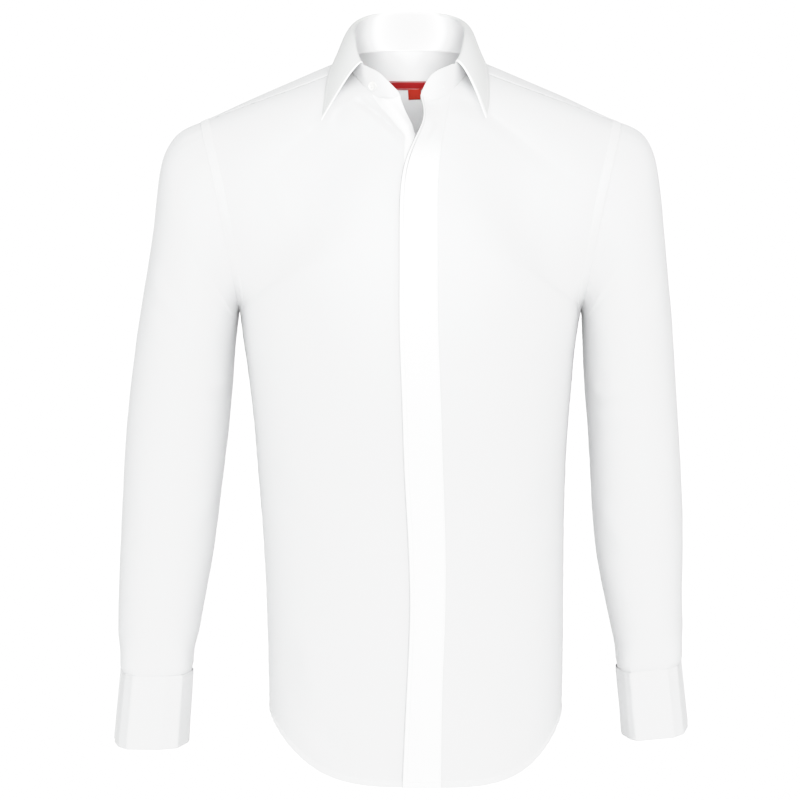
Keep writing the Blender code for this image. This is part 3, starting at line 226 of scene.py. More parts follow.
# double cuffs: middle, half width and half depth of the innermost face at the top
# and at the fold, heights, the dip of the front, roll, length of the meeting ends
CUFFS = {
    #         x_top,   x_low,   y,      z_top,    z_low,    half_w, half_d, flare, dip,  roll,  fin
    "right": (-0.2630, -0.2688, 0.0000, -0.6288, -0.7035, 0.0343, 0.0389, 0.0014, 0.04, 0.00, 0.0075),
    "left":  ( 0.2483,  0.2548, 0.0000, -0.6218, -0.6915, 0.0307, 0.0404, 0.0008, 0.07, 0.115, 0.0065),
}
CUFF_MEET = 32.0        # the ends meet this far behind the outermost point, degrees
CUFF_FILLET = 0.005     # radius where the ring turns out into its meeting ends
CUFF_SQUARE = 3.1       # how square the pressed ring is: 2 would be an ellipse
GAUNTLET_W = 0.024      # strip over the sleeve opening, in line with the cuff's ends
GAUNTLET_RINGS = (0.735, 0.925)         # from the elbow side to just above the cuff


def spline(knots, values, at):
    """Natural cubic spline through the rows of values."""
    x = np.asarray(knots, float)
    y = np.asarray(values, float)
    if y.ndim == 1:
        y = y[:, None]
    flip = x[0] > x[-1]
    if flip:
        x, y = x[::-1], y[::-1]
    n = len(x)
    h = np.diff(x)
    m = np.zeros((n, n))
    r = np.zeros((n, y.shape[1]))
    m[0, 0] = m[-1, -1] = 1.0
    for i in range(1, n - 1):
        m[i, i - 1], m[i, i], m[i, i + 1] = h[i - 1], 2 * (h[i - 1] + h[i]), h[i]
        r[i] = 6 * ((y[i + 1] - y[i]) / h[i] - (y[i] - y[i - 1]) / h[i - 1])
    c = np.linalg.solve(m, r)
    t = np.clip(np.atleast_1d(np.asarray(at, float)), x[0], x[-1])
    k = np.clip(np.searchsorted(x, t) - 1, 0, n - 2)
    a = ((x[k + 1] - t) / h[k])[:, None]
    b = 1.0 - a
    hh = (h[k] ** 2)[:, None]
    out = a * y[k] + b * y[k + 1] + ((a ** 3 - a) * c[k] + (b ** 3 - b) * c[k + 1]) * hh / 6
    return out if np.ndim(at) else out[0]


def smooth(t):
    t = min(max(t, 0.0), 1.0)
    return t * t * (3 - 2 * t)


def unit(v):
    return v / max(np.linalg.norm(v), 1e-12)


def even(points, shares):
    """Points at the given shares of a polyline's length."""
    run = np.concatenate([[0.0], np.cumsum(np.linalg.norm(np.diff(points, axis=0), axis=1))])
    at = np.asarray(shares) * run[-1]
    return np.stack([np.interp(at, run, points[:, i]) for i in range(3)], axis=1)


def bow(p0, d0, p1, d1, k0, k1, shares):
    """A row that leaves p0 along d0 and arrives at p1 along d1."""
    chord = p1 - p0
    a = p0 + d0 * k0 * abs(chord @ d0)
    b = p1 - d1 * k1 * abs(chord @ d1)
    t = np.linspace(0, 1, 61)[:, None]
    line = (1 - t) ** 3 * p0 + 3 * (1 - t) ** 2 * t * a + 3 * (1 - t) * t ** 2 * b + t ** 3 * p1
    return even(line, shares)


def line_at(z):
    """Reach and the five front lines at a height."""
    return spline(FRONT_LINES[:, 0], FRONT_LINES[:, 1:], z)


def armhole(side, turn):
    """A point of the armhole: 0 at the underarm, 90 in front, 180 on the shoulder."""
    s = -1.0 if side == "right" else 1.0
    ox, oz, ix, iz, y, depth, square, _ = SLEEVES[side][0]
    a = math.radians(turn)
    c, n = math.cos(a), math.sin(a)
    inward = 0.0035 * n * n
    return np.array([s * ((ox + ix) / 2 - (ox - ix) / 2 * c - inward),
                     y * (1 - c) / 2 * 2 * 0.5 - depth * n * (1.0 if n > 0 else 0.93),
                     (oz + iz) / 2 - (oz - iz) / 2 * c])


def side_seam(side, z):
    right, left, y = spline(SIDES[:, 0], SIDES[:, 1:], z)
    return np.array([-right if side == "right" else left, y, z])


def neck_point(row, crest=False):
    cols = NECK[:, 3:6] if crest else NECK[:, 0:3]
    return spline(np.arange(len(NECK)), cols, row)


def neck_row(x):
    """Row of the neck table, on a front part, whose seam has this x."""
    rows = np.linspace(0, 5, 200) if x < 0 else np.linspace(20, 15, 200)
    xs = np.array([neck_point(r)[0] for r in rows])
    order = np.argsort(np.abs(xs))
    return float(np.interp(abs(x), np.abs(xs)[order], rows[order]))


def chest(x, z, side):
    """Front surface near the middle at x and height z."""
    reach, fly_x, seam_x, band_in, band_edge, turn = line_at(z)
    mid = (seam_x + fly_x) / 2
    y = -reach + 1.9 * (x - mid) ** 2
    if side == "left":
        y -= LIFT * smooth((-0.040 - z) / 0.022)
    return np.array([x, y, z])


TOP_LEFT = neck_row(0.0400)          # neck rows where the placket and band lines end
TOP_RIGHT = neck_row(-0.0385)


def front_start(side, w, mid_z):
    """Point on the inner line of the placket or band, then along the neckline."""
    top = TOP_LEFT if side == "left" else TOP_RIGHT
    if w <= 1.6:
        x = line_at(mid_z)[2] if side == "left" else line_at(mid_z)[3]
        p = chest(x, mid_z, side)
        end = neck_point(top)
        share = smooth((w - 1.15) / 0.45)
        last = chest(line_at(-0.0375)[2 if side == "left" else 3], -0.0375, side)
        return p + (end - last) * share
    end = ROW_N_LEFT if side == "left" else ROW_N_RIGHT
    return neck_point(top + (end - top) * (w - 1.6) / 0.4)


def panel_row(side, w, shares, table, start, back=False):
    """One row of a front or of half the back, from the middle to the side."""
    s = -1.0 if side == "right" else 1.0
    f = 1.0 if not back else -1.0
    (mid_z, side_z, turn, a0, drop0, a1, drop1, k0, k1) = spline(table[:, 0], table[:, 1:], w)
    if w <= 1.0:
        turn = table[0, 3]
        k = int(np.searchsorted(table[:, 0], w, side="right") - 1)
    if w > 1.0:
        side_z = -0.2525
        turn = float(np.interp(w, table[:, 0], table[:, 3]))
    mid_z = float(np.interp(w, table[:, 0], table[:, 1]))
    if w <= 1.0:
        side_z = float(np.interp(w, table[:, 0], table[:, 2]))
    p0 = start(side, w, mid_z)
    p1 = side_seam(side, side_z) if w <= 1.0 else armhole(side, turn)
    a0, a1 = math.radians(a0), math.radians(min(a1, 90.0))
    d0 = unit(np.array([s * math.cos(a0), f * math.sin(a0), -drop0]))
    d1 = unit(np.array([s * math.cos(a1), f * math.sin(a1), -drop1]))
    row = bow(p0, d0, p1, d1, k0, k1, shares)
    hem = min(max((0.95 - w) / 0.7, 0.0), 1.0)
    if hem > 0:
        u = np.asarray(shares)
        climb = p0[2] + (p1[2] - p0[2]) * (1 - np.cos(np.pi * u ** HEM_POWER)) / 2
        row[:, 2] = row[:, 2] * (1 - hem) + climb * hem
    return row


def front_grid(side, ws, shares):
    return np.array([panel_row(side, w, shares, FRONT_ROWS, front_start) for w in ws])


def back_start(side, w, mid_z):
    return np.array([0.002, spline(BACK_LINE[:, 0], BACK_LINE[:, 1], mid_z)[0], mid_z])


def back_grid(ws, shares):
    rows = []
    for w in ws:
        left = panel_row("left", w, shares, BACK_ROWS, back_start, True)
        right = panel_row("right", w, shares, BACK_ROWS, back_start, True)
        rows.append(np.concatenate([left[::-1], right[1:]]))
    return np.array(rows)


def yoke_grid(turn_steps, shoulder, backneck, back_shares):
    """Columns from the left armhole round behind the neck to the right armhole,
    rows from the front seams and the neckline to the back seam."""
    low = back_grid([2.0], back_shares)[0]
    low_next = back_grid([1.93], back_shares)[0]
    tops, lows, starts = [], [], []
    n = len(low)
    fs = np.linspace(1, 0, shoulder + 1)

    def shoulder_top(side, share):
        here = panel_row(side, 2.0, [share], FRONT_ROWS, front_start)[0]
        under = panel_row(side, 1.96, [share], FRONT_ROWS, front_start)[0]
        return here, unit(here - under)

    for f in fs:
        p, d = shoulder_top("left", f)
        tops.append(p)
        starts.append(d)
    for i in range(1, backneck):
        row = ROW_N_LEFT + (ROW_N_RIGHT - ROW_N_LEFT) * i / backneck
        p = neck_point(row)
        q = (row - ROW_BACK) / (ROW_N_LEFT - ROW_BACK)
        tops.append(p)
        starts.append(unit(np.array([0.42 * q * (1 - abs(q)) * 2.0,
                                     0.66 + 0.30 * q * q, -0.75 + 0.72 * q * q])))
    for f in fs[::-1]:
        p, d = shoulder_top("right", f)
        tops.append(p)
        starts.append(d)
    # ease the start directions beside the neck points
    for _ in range(2):
        starts = [starts[0]] + [unit(starts[i - 1] * 0.5 + starts[i] + starts[i + 1] * 0.5)
                                for i in range(1, n - 1)] + [starts[-1]]
    # the seam's own directions change evenly from the neck points to mid back
    nl, nr = shoulder, n - 1 - shoulder
    for a, b in ((nl, n // 2), (nr, n // 2)):
        step = 1 if b > a else -1
        for i in range(a, b, step):
            q = smooth(abs(i - a) / abs(b - a))
            starts[i] = unit(starts[a] * (1 - q) + np.array([0.0, 0.66, -0.75]) * q)
    turns = np.linspace(FRONT_TOP, BACK_TOP, turn_steps + 1)
    t = np.linspace(0, 1, turn_steps + 1)
    cols = []
    for i in range(n):
        d1 = unit(low_next[i] - low[i])
        span = np.linalg.norm(low[i] - tops[i])
        a = tops[i] + starts[i] * span * YOKE_RISE
        b = low[i] - d1 * span * 0.40
        tt = t[:, None]
        col = ((1 - tt) ** 3 * tops[i] + 3 * (1 - tt) ** 2 * tt * a
               + 3 * (1 - tt) * tt ** 2 * b + tt ** 3 * low[i])
        along = min(i, n - 1 - i) / shoulder          # 0 at the armhole, 1 at the neck point
        ridge = YOKE_RIDGE * (smooth(along * 2.5) if along < 1 else 1 - smooth((along - 1) * 1.6))
        col[:, 2] += ridge * np.sin(np.pi * t) ** 2 * (1 - t) * 1.6
        cols.append(col)
    grid = np.array(cols).transpose(1, 0, 2)
    for side, edge in (("left", 0), ("right", n - 1)):
        want = np.array([armhole(side, k) for k in turns])
        off = want - grid[:, edge]
        for i in range(n):
            far = abs(i - edge) / shoulder
            grid[:, i] += off * (1 - smooth(far))
    return grid


def sleeve_rows(side, rings, turns):
    s = -1.0 if side == "right" else 1.0
    table = SLEEVES[side]
    run = sleeve_run(side)
    rows = []
    for at in rings:
        ox, oz, ix, iz, y, depth, square, dip = spline(run, table, at)
        ring = []
        for turn in turns:
            a = math.radians(turn)
            c, n = math.cos(a), math.sin(a)
            e = 2.0 / square
            cc = math.copysign(abs(c) ** e, c)
            nn = math.copysign(abs(n) ** e, n)
            yy = y - depth * nn * (1.0 if n > 0 else 0.93 + 0.07 * smooth(at / 0.4))
            head = 1 - smooth(at / 0.12)
            yy += (y * (1 - c) / 2 - y) * head
            inward = 0.0035 * n * n * head
            ring.append((s * ((ox + ix) / 2 - (ox - ix) / 2 * cc - inward), yy,
                         (oz + iz) / 2 - (oz - iz) / 2 * cc + dip * (yy - y)))
        rows.append(ring)
    grid = np.array(rows)
    first = np.array([armhole(side, t) for t in turns])
    slide = np.array([s * 0.98, 0.0, -0.2]) * ARM_GAP
    off = first + slide - grid[0]
    for i, at in enumerate(rings):
        grid[i] += off * (1 - smooth(at / 0.10))
    return grid


def sleeve_run(side):
    """How far down the sleeve each row of its table is, 0 to 1."""
    table = SLEEVES[side]
    mid = (table[:, [0, 1]] + table[:, [2, 3]]) / 2
    step = (np.linalg.norm(np.diff(table[:, :2], axis=0), axis=1)
            + np.linalg.norm(np.diff(mid, axis=0), axis=1)) / 2
    run = np.concatenate([[0.0], np.cumsum(step)])
    return run / run[-1]


def face_normals(grid, closed):
    """Outward normals of a grid of points by averaging its faces."""
    g = grid
    if closed:
        across = np.roll(g, -1, axis=1) - np.roll(g, 1, axis=1)
    else:
        across = np.empty_like(g)
        across[:, 1:-1] = g[:, 2:] - g[:, :-2]
        across[:, 0] = g[:, 1] - g[:, 0]
        across[:, -1] = g[:, -1] - g[:, -2]
    along = np.empty_like(g)
    along[1:-1] = g[2:] - g[:-2]
    along[0] = g[1] - g[0]
    along[-1] = g[-1] - g[-2]
    n = np.cross(across, along)
    return n / np.maximum(np.linalg.norm(n, axis=2, keepdims=True), 1e-12)


def strip_point(side, w, f):
    """A point of the fly or the band: f is 0 at its free edge, 1 at its seam."""
    mid_z = float(np.interp(w, FRONT_ROWS[:, 0], FRONT_ROWS[:, 1]))
    _, fly_x, seam_x, band_in, band_edge, turn = line_at(mid_z)
    edge, inner = (fly_x, seam_x) if side == "left" else (band_edge, band_in)
    p = chest(edge + f * (inner - edge), mid_z, side)
    if side == "right":
        p[1] += turn * (1 - f) ** 1.5
    share = smooth((w - 1.15) / 0.45)
    if share > 0:
        _, fx, sx, bi, be, tn = line_at(-0.0375)
        e, i = (fx, sx) if side == "left" else (be, bi)
        ends = []
        for g, x, row in ((0.0, e, 20.0 if side == "left" else 0.0),
                          (1.0, i, TOP_LEFT if side == "left" else TOP_RIGHT)):
            last = chest(x, -0.0375, side)
            if side == "right":
                last[1] += tn * (1 - g) ** 1.5
            ends.append(neck_point(row) - last)
        arc = 0.0
        row0, row1 = (20.0, TOP_LEFT) if side == "left" else (0.0, TOP_RIGHT)
        on_neck = neck_point(row0 + (row1 - row0) * f)
        straight = chest(e + f * (i - e), -0.0375, side)
        if side == "right":
            straight[1] += tn * (1 - f) ** 1.5
        p = p + (on_neck - straight) * share
    return p


def stand_frame(row):
    """Seam point, crest point, up and outward directions of the stand."""
    seam, crest = neck_point(row), neck_point(row, True)
    ahead = neck_point(min(row + 0.05, 20.0)) - neck_point(max(row - 0.05, 0.0))
    up = unit(crest - seam)
    out = unit(np.cross(up, ahead))
    middle = np.array([0.0, -0.01, seam[2]])
    if out @ (seam - middle) < 0:
        out = -out
    return seam, crest, up, out


LEAF_FIRST, LEAF_LAST = LEAF[0, 0], LEAF[-1, 0]


def under_leaf(row):
    """1 where the stand carries the leaf, 0 on its free ends."""
    return min(smooth((row - LEAF_FIRST + 0.45) / 0.4), smooth((LEAF_LAST + 0.45 - row) / 0.4))


def leaf_section(row, turns_up, fall):
    """Middle line of the leaf from the stand over the fold down to its edge."""
    seam, crest, up, out = stand_frame(row)
    edge = spline(LEAF[:, 0], LEAF[:, 1:], row)
    hub = crest - up * CREST + out * CREST
    line = [hub - CREST * math.cos(a) * out + CREST * math.sin(a) * up
            for a in np.radians(turns_up)]
    a = math.radians(turns_up[-1])
    start = line[-1]
    d0 = unit(math.sin(a) * out + math.cos(a) * up)
    span = np.linalg.norm(edge - start)
    chord = unit(edge - start)
    d1 = unit(chord * 1.0 - out * 0.10 - up * 0.02)
    aa, bb = start + d0 * span * 0.22, edge - d1 * span * 0.40
    for t in fall:
        line.append((1 - t) ** 3 * start + 3 * (1 - t) ** 2 * t * aa + 3 * (1 - t) * t * t * bb + t ** 3 * edge)
    return line


def cuff_path(side, extra, steps):
    """Ring of the cuff's innermost face, from one meeting end to the other, with
    its outward directions.  extra widens the ring."""
    _, _, _, _, _, half_w, half_d, _, _, _, fin = CUFFS[side]
    a, b = half_w + extra, half_d + extra
    s = -1.0 if side == "right" else 1.0
    meet = math.radians(CUFF_MEET)
    p = CUFF_SQUARE

    def rim(turn):
        x, y = math.cos(turn), math.sin(turn)
        return np.array([a * x, b * y]) * (abs(x) ** p + abs(y) ** p) ** (-1 / p)

    root = rim(meet)
    r = np.array([abs(root[0] / a) ** (p - 1) / a, abs(root[1] / b) ** (p - 1) / b])
    r /= np.linalg.norm(r)
    t = np.array([-r[1], r[0]])
    half = [(0.0005, fin), (0.0005, CUFF_FILLET)]
    for k in (30.0, 60.0):
        q = math.radians(k)
        half.append((0.0005 + CUFF_FILLET * (1 - math.cos(q)), CUFF_FILLET * (1 - math.sin(q))))
    start = [root + t * u + r * v for u, v in half]
    stop = [root - t * u + r * v for u, v in half][::-1]
    skip = math.radians(15.0)
    ring = [rim(meet + q) for q in np.linspace(skip, 2 * math.pi - skip, steps)]
    pts = np.array(start + ring + stop)
    d = np.gradient(pts, axis=0)
    out = np.stack([d[:, 1], -d[:, 0]], axis=1)
    out /= np.linalg.norm(out, axis=1, keepdims=True)
    out[0] = out[1] = t
    out[-1] = out[-2] = -t
    pts[:, 0] *= s
    out[:, 0] *= s
    return pts, out


LABEL_TOP = -0.0042


# ------------------------------------------------------------------ fineness of the looks
ROWS_LOW = 150         # rows from hem to underarm
ROWS_MID = 50          # rows from underarm to the top of the placket
ROWS_NECK = 24         # rows along each front neckline
COLS = 66              # columns of a front panel
COLS_NECK = 40         # yoke columns behind the neck
ROWS_YOKE = 40         # rows over the yoke
ROWS_BACK = 68         # rows of the back beside the armhole
RINGS = 190            # rings of a sleeve
SHEET = 0.0006                          # thickness of the cloth as it looks
LIP = 0.00045                           # a lapped edge stands this far up
FELL = 0.0098                           # width of the flat seam round the armhole
SIDE_FELL = 0.0075                      # width of the other flat seams


def smooths(t):
    t = np.clip(t, 0.0, 1.0)
    return t * t * (3 - 2 * t)


def units(v):
    return v / np.maximum(np.linalg.norm(v, axis=-1, keepdims=True), 1e-12)


def run_along(grid, axis):
    """Distance from the first row or column along a grid."""
    step = np.linalg.norm(np.diff(grid, axis=axis), axis=2)
    pad = np.zeros_like(step[:1] if axis == 0 else step[:, :1])
    return np.concatenate([pad, np.cumsum(step, axis=axis)], axis=axis)


def ripple(p, scale, seed, aspect=(1.0, 1.0, 1.0)):
    """Smooth wandering height between about -1 and 1."""
    rng = np.random.RandomState(seed)
    q = p / np.array(aspect) / scale * 2 * math.pi
    total = 0.0
    for k in range(7):
        d = rng.normal(size=3)
        d *= (0.6 + 0.9 * rng.rand()) / np.linalg.norm(d)
        total = total + np.sin(q @ d + rng.rand() * 6.28)
    return total / 2.6


def fold(at, a, b, c, width, depth, lean=0.0, start=0.25, end=0.3):
    """Height of one soft fold along the curve a-b-c over 2-d points: a ridge, or a
    valley where depth is negative, with a shallow dip on the side it leans from."""
    t = np.linspace(0, 1, 29)[:, None]
    a, b, c = (np.array(v, float) for v in (a, b, c))
    ctrl = 2 * b - (a + c) / 2
    line = (1 - t) ** 2 * a + 2 * (1 - t) * t * ctrl + t ** 2 * c
    flat = at.reshape(-1, 2)
    reach = width * 3.2
    near = ((flat > line.min(axis=0) - reach) & (flat < line.max(axis=0) + reach)).all(axis=1)
    out = np.zeros(len(flat))
    if not near.any():
        return out.reshape(at.shape[:-1])
    q = flat[near]
    p0, d = line[:-1], np.diff(line, axis=0)
    rel = q[:, None, :] - p0[None]
    along = np.clip((rel * d).sum(axis=2) / (d * d).sum(axis=1), 0, 1)
    gap = rel - along[..., None] * d
    dist = np.linalg.norm(gap, axis=2)
    k = dist.argmin(axis=1)
    row = np.arange(len(q))
    side = np.sign(d[k, 0] * gap[row, k, 1] - d[k, 1] * gap[row, k, 0])
    s = dist[row, k] * side / width
    share = (k + along[row, k]) / len(d)
    fade = (smooths(share / start) if start > 0 else 1.0) * (smooths((1 - share) / end) if end > 0 else 1.0)
    h = np.exp(-s * s)
    if lean:
        h = h - 0.55 * np.exp(-(s - 1.6 * lean) ** 2)
    out[near] = depth * h * fade
    return out.reshape(at.shape[:-1])


def folds(at, table):
    total = np.zeros(at.shape[:-1])
    for ax, az, bx, bz, cx, cz, width, depth, lean, start, end in table:
        total += fold(at, (ax, az), (bx, bz), (cx, cz), width, depth, lean, start, end)
    return total


# the main soft folds, seen from the front: curve a-b-c in x and z, half width,
# height, the side it leans from, and how it fades in and out
FRONT_FOLDS = [
    # ax,     az,      bx,      bz,      cx,      cz,      width,  depth,   lean, start, end
    (-0.0576, -0.0398, -0.0300, -0.0618, -0.0014, -0.0920, 0.0034, -0.0046, 0.0, 0.12, 0.20),
    (-0.0300, -0.0380, -0.0134, -0.0619, -0.0010, -0.0815, 0.0060,  0.0040, 0.0, 0.10, 0.20),
    (-0.0690, -0.0420, -0.0560, -0.0700, -0.0300, -0.0900, 0.0090,  0.0007, 0.0, 0.30, 0.40),
    (-0.1180, -0.5700, -0.1240, -0.6200, -0.1080, -0.6700, 0.0160, -0.0018, 1.0, 0.35, 0.35),
    (-0.0980, -0.6650, -0.0800, -0.6900, -0.0560, -0.7060, 0.0110, -0.0012, -1.0, 0.30, 0.30),
    (-0.0100, -0.6030, 0.0120, -0.6060, 0.0320, -0.6010, 0.0022, -0.0005, 0.0, 0.15, 0.15),
    (0.0260, -0.0690, 0.0140, -0.0880, -0.0020, -0.1150, 0.0034,  0.0020, 0.4, 0.15, 0.25),
    (0.1250, -0.2450, 0.0950, -0.2900, 0.0800, -0.3500, 0.0160, -0.0008, 1.0, 0.25, 0.50),
    (-0.1260, -0.2400, -0.1010, -0.2850, -0.0900, -0.3400, 0.0170, -0.0009, -1.0, 0.25, 0.50),
    (0.1300, -0.4100, 0.1080, -0.4500, 0.0700, -0.4800, 0.0150,  0.0008, 0.8, 0.20, 0.50),
    (-0.1330, -0.3900, -0.1080, -0.4350, -0.0850, -0.4900, 0.0150,  0.0007, -0.8, 0.20, 0.50),
    (0.1150, -0.6000, 0.1050, -0.6500, 0.1180, -0.6900, 0.0140, -0.0011, -1.0, 0.40, 0.30),
    (0.0620, -0.5200, 0.0560, -0.6000, 0.0700, -0.6850, 0.0200,  0.0007, 0.7, 0.45, 0.25),
    (-0.0480, -0.4400, -0.0560, -0.5300, -0.0480, -0.6200, 0.0200,  0.0006, 0.6, 0.45, 0.45),
    (0.1500, -0.1300, 0.1250, -0.1700, 0.1120, -0.2250, 0.0120,  0.0007, 0.8, 0.20, 0.50),
    (-0.1480, -0.1250, -0.1230, -0.1680, -0.1120, -0.2200, 0.0120,  0.0007, -0.8, 0.20, 0.50),
]
BACK_FOLDS = [
    # ax,     az,      bx,      bz,      cx,      cz,      width,  depth,   lean, start, end
    (0.0950, -0.1020, 0.0860, -0.1900, 0.0740, -0.3050, 0.0110,  0.0025, 1.0, 0.05, 0.55),
    (-0.0900, -0.1020, -0.0840, -0.2000, -0.0800, -0.3200, 0.0120,  0.0023, -1.0, 0.05, 0.50),
    (0.1450, -0.2350, 0.1050, -0.2850, 0.0650, -0.3500, 0.0140,  0.0027, 0.9, 0.10, 0.50),
    (-0.1480, -0.2300, -0.1120, -0.2700, -0.0600, -0.3150, 0.0130,  0.0023, -0.9, 0.10, 0.50),
    (0.1150, -0.3900, 0.0300, -0.4350, -0.0500, -0.4250, 0.0170,  0.0023, 0.7, 0.30, 0.45),
    (-0.1250, -0.4300, -0.0500, -0.4700, 0.0450, -0.4700, 0.0150,  0.0022, -0.8, 0.25, 0.50),
    (0.1200, -0.4700, 0.0700, -0.5050, 0.0100, -0.5100, 0.0140,  0.0016, 0.8, 0.25, 0.50),
    (0.0550, -0.5400, 0.0620, -0.6300, 0.0560, -0.7300, 0.0190,  0.0029, 0.7, 0.40, 0.10),
    (-0.0600, -0.5600, -0.0700, -0.6400, -0.0680, -0.7200, 0.0170,  0.0023, -0.7, 0.40, 0.10),
    (-0.0050, -0.5800, 0.0020, -0.6600, -0.0080, -0.7450, 0.0230,  0.0016, 0.5, 0.50, 0.15),
    (0.0300, -0.0850, 0.0330, -0.1500, 0.0280, -0.2300, 0.0130,  0.0011, 0.8, 0.10, 0.60),
    (0.1150, -0.6000, 0.1180, -0.6500, 0.1080, -0.6900, 0.0140, -0.0020, -0.8, 0.40, 0.20),
]
# sleeve folds: turn in degrees (0 underarm, 90 front, 180 outer edge) and distance
# down from the armhole; 1 degree counts as 0.9 mm
SLEEVE_FOLDS = {
    "right": [
        # a_turn, a_down, b_turn, b_down, c_turn, c_down, width, depth, lean, start, end
        (150.0, 0.1350, 118.0, 0.1620, 88.0, 0.1780, 0.0120,  0.0012, 1.0, 0.30, 0.45),
        (128.0, 0.1650, 100.0, 0.1950, 76.0, 0.2150, 0.0130, -0.0009, -0.7, 0.30, 0.50),
        (30.0, 0.0500, 62.0, 0.0680, 104.0, 0.0560, 0.0110,  0.0009, 0.9, 0.25, 0.45),
        (16.0, 0.2400, 55.0, 0.2600, 92.0, 0.2500, 0.0120,  0.0013, 0.9, 0.20, 0.45),
        (20.0, 0.2950, 60.0, 0.2850, 100.0, 0.3050, 0.0130,  0.0010, -0.9, 0.25, 0.45),
        (24.0, 0.3600, 50.0, 0.4100, 88.0, 0.4450, 0.0140,  0.0008, 0.8, 0.30, 0.45),
        (135.0, 0.3550, 112.0, 0.4100, 104.0, 0.4700, 0.0140,  0.0008, 0.6, 0.35, 0.35),
        (206.0, 0.2200, 238.0, 0.2500, 282.0, 0.2600, 0.0140,  0.0040, 0.8, 0.25, 0.35),
        (200.0, 0.2650, 240.0, 0.2850, 290.0, 0.2800, 0.0130,  0.0036, -0.8, 0.25, 0.40),
        (212.0, 0.3150, 250.0, 0.3200, 296.0, 0.3400, 0.0140,  0.0026, 0.8, 0.30, 0.45),
        (226.0, 0.0950, 262.0, 0.1250, 310.0, 0.1300, 0.0150,  0.0026, 0.9, 0.30, 0.45),
        (300.0, 0.0300, 275.0, 0.0700, 244.0, 0.0900, 0.0120,  0.0022, -0.9, 0.20, 0.45),
        (262.0, 0.5100, 256.0, 0.4600, 262.0, 0.3900, 0.0070,  0.0032, 0.9, 0.02, 0.60),
        (288.0, 0.5100, 280.0, 0.4700, 276.0, 0.4200, 0.0070,  0.0028, 0.9, 0.02, 0.60),
        (318.0, 0.4900, 300.0, 0.4300, 306.0, 0.3700, 0.0150,  0.0018, -0.6, 0.30, 0.45),
    ],
    "left": [
        (146.0, 0.1500, 112.0, 0.1750, 84.0, 0.1950, 0.0120,  0.0009, 1.0, 0.30, 0.45),
        (34.0, 0.0560, 66.0, 0.0700, 108.0, 0.0600, 0.0110,  0.0008, 0.9, 0.25, 0.45),
        (18.0, 0.2500, 58.0, 0.2650, 96.0, 0.2450, 0.0120,  0.0012, 0.9, 0.20, 0.45),
        (24.0, 0.3000, 64.0, 0.2950, 104.0, 0.3200, 0.0130,  0.0009, -0.9, 0.25, 0.45),
        (22.0, 0.3700, 54.0, 0.4200, 86.0, 0.4500, 0.0140,  0.0008, 0.8, 0.30, 0.45),
        (130.0, 0.3450, 110.0, 0.4000, 100.0, 0.4600, 0.0140,  0.0007, 0.6, 0.35, 0.35),
        (210.0, 0.2100, 244.0, 0.2450, 286.0, 0.2500, 0.0140,  0.0038, 0.8, 0.25, 0.35),
        (202.0, 0.2700, 242.0, 0.2800, 292.0, 0.2900, 0.0130,  0.0034, -0.8, 0.25, 0.40),
        (214.0, 0.3250, 248.0, 0.3350, 290.0, 0.3300, 0.0140,  0.0028, 0.8, 0.30, 0.45),
        (222.0, 0.1050, 258.0, 0.1200, 306.0, 0.1400, 0.0150,  0.0024, 0.9, 0.30, 0.45),
        (298.0, 0.0350, 270.0, 0.0650, 240.0, 0.0950, 0.0120,  0.0022, -0.9, 0.20, 0.45),
        (264.0, 0.5050, 258.0, 0.4500, 264.0, 0.3850, 0.0070,  0.0032, 0.9, 0.02, 0.60),
        (290.0, 0.5050, 283.0, 0.4600, 278.0, 0.4150, 0.0070,  0.0028, 0.9, 0.02, 0.60),
        (316.0, 0.4800, 304.0, 0.4200, 308.0, 0.3650, 0.0150,  0.0020, -0.6, 0.30, 0.45),
    ],
}


def body_relief(p, n):
    """Height of the body cloth's own folds at points p with outward normals n."""
    at = p[..., [0, 2]]
    ahead = smooths((0.30 - n[..., 1]) / 0.6)          # 1 in front, 0 behind
    h = folds(at, FRONT_FOLDS) * ahead + folds(at, BACK_FOLDS) * (1 - ahead)
    h = h + 0.00035 * ripple(p, 0.16, 3, (1.0, 1.0, 1.7)) + 0.00010 * ripple(p, 0.045, 5, (1.0, 1.0, 1.5))
    return h


def pucker(dist, along, wave, depth, reach, seed):
    """Small gathers that die away from a stitched edge."""
    wander = 1.6 * np.sin(along / wave * 1.37 + seed) + 1.1 * np.sin(along / wave * 0.53 + 2.0 * seed)
    return depth * np.exp(-dist / reach) * np.sin(2 * math.pi * along / wave + wander)


# ------------------------------------------------------------------ making meshes
PIECES = {}


def mesh_object(name, verts, faces, uvs, mats, picks=None, sharp=50.0):
    mesh = bpy.data.meshes.new(name)
    mesh.from_pydata([tuple(v) for v in verts], [], [tuple(f) for f in faces])
    mesh.update()
    if uvs is not None:
        layer = mesh.uv_layers.new(name="cloth")
        index = np.empty(len(mesh.loops), dtype=np.int32)
        mesh.loops.foreach_get("vertex_index", index)
        layer.data.foreach_set("uv", np.asarray(uvs, dtype=np.float32)[index].ravel())
    for m in mats:
        mesh.materials.append(m)
    if picks is not None:
        mesh.polygons.foreach_set("material_index", np.asarray(picks, dtype=np.int32))
    mesh.shade_smooth()
    mesh.set_sharp_from_angle(angle=math.radians(sharp))
    obj = bpy.data.objects.new(name, mesh)
    bpy.context.scene.collection.objects.link(obj)
    PIECES[name] = obj
    return obj


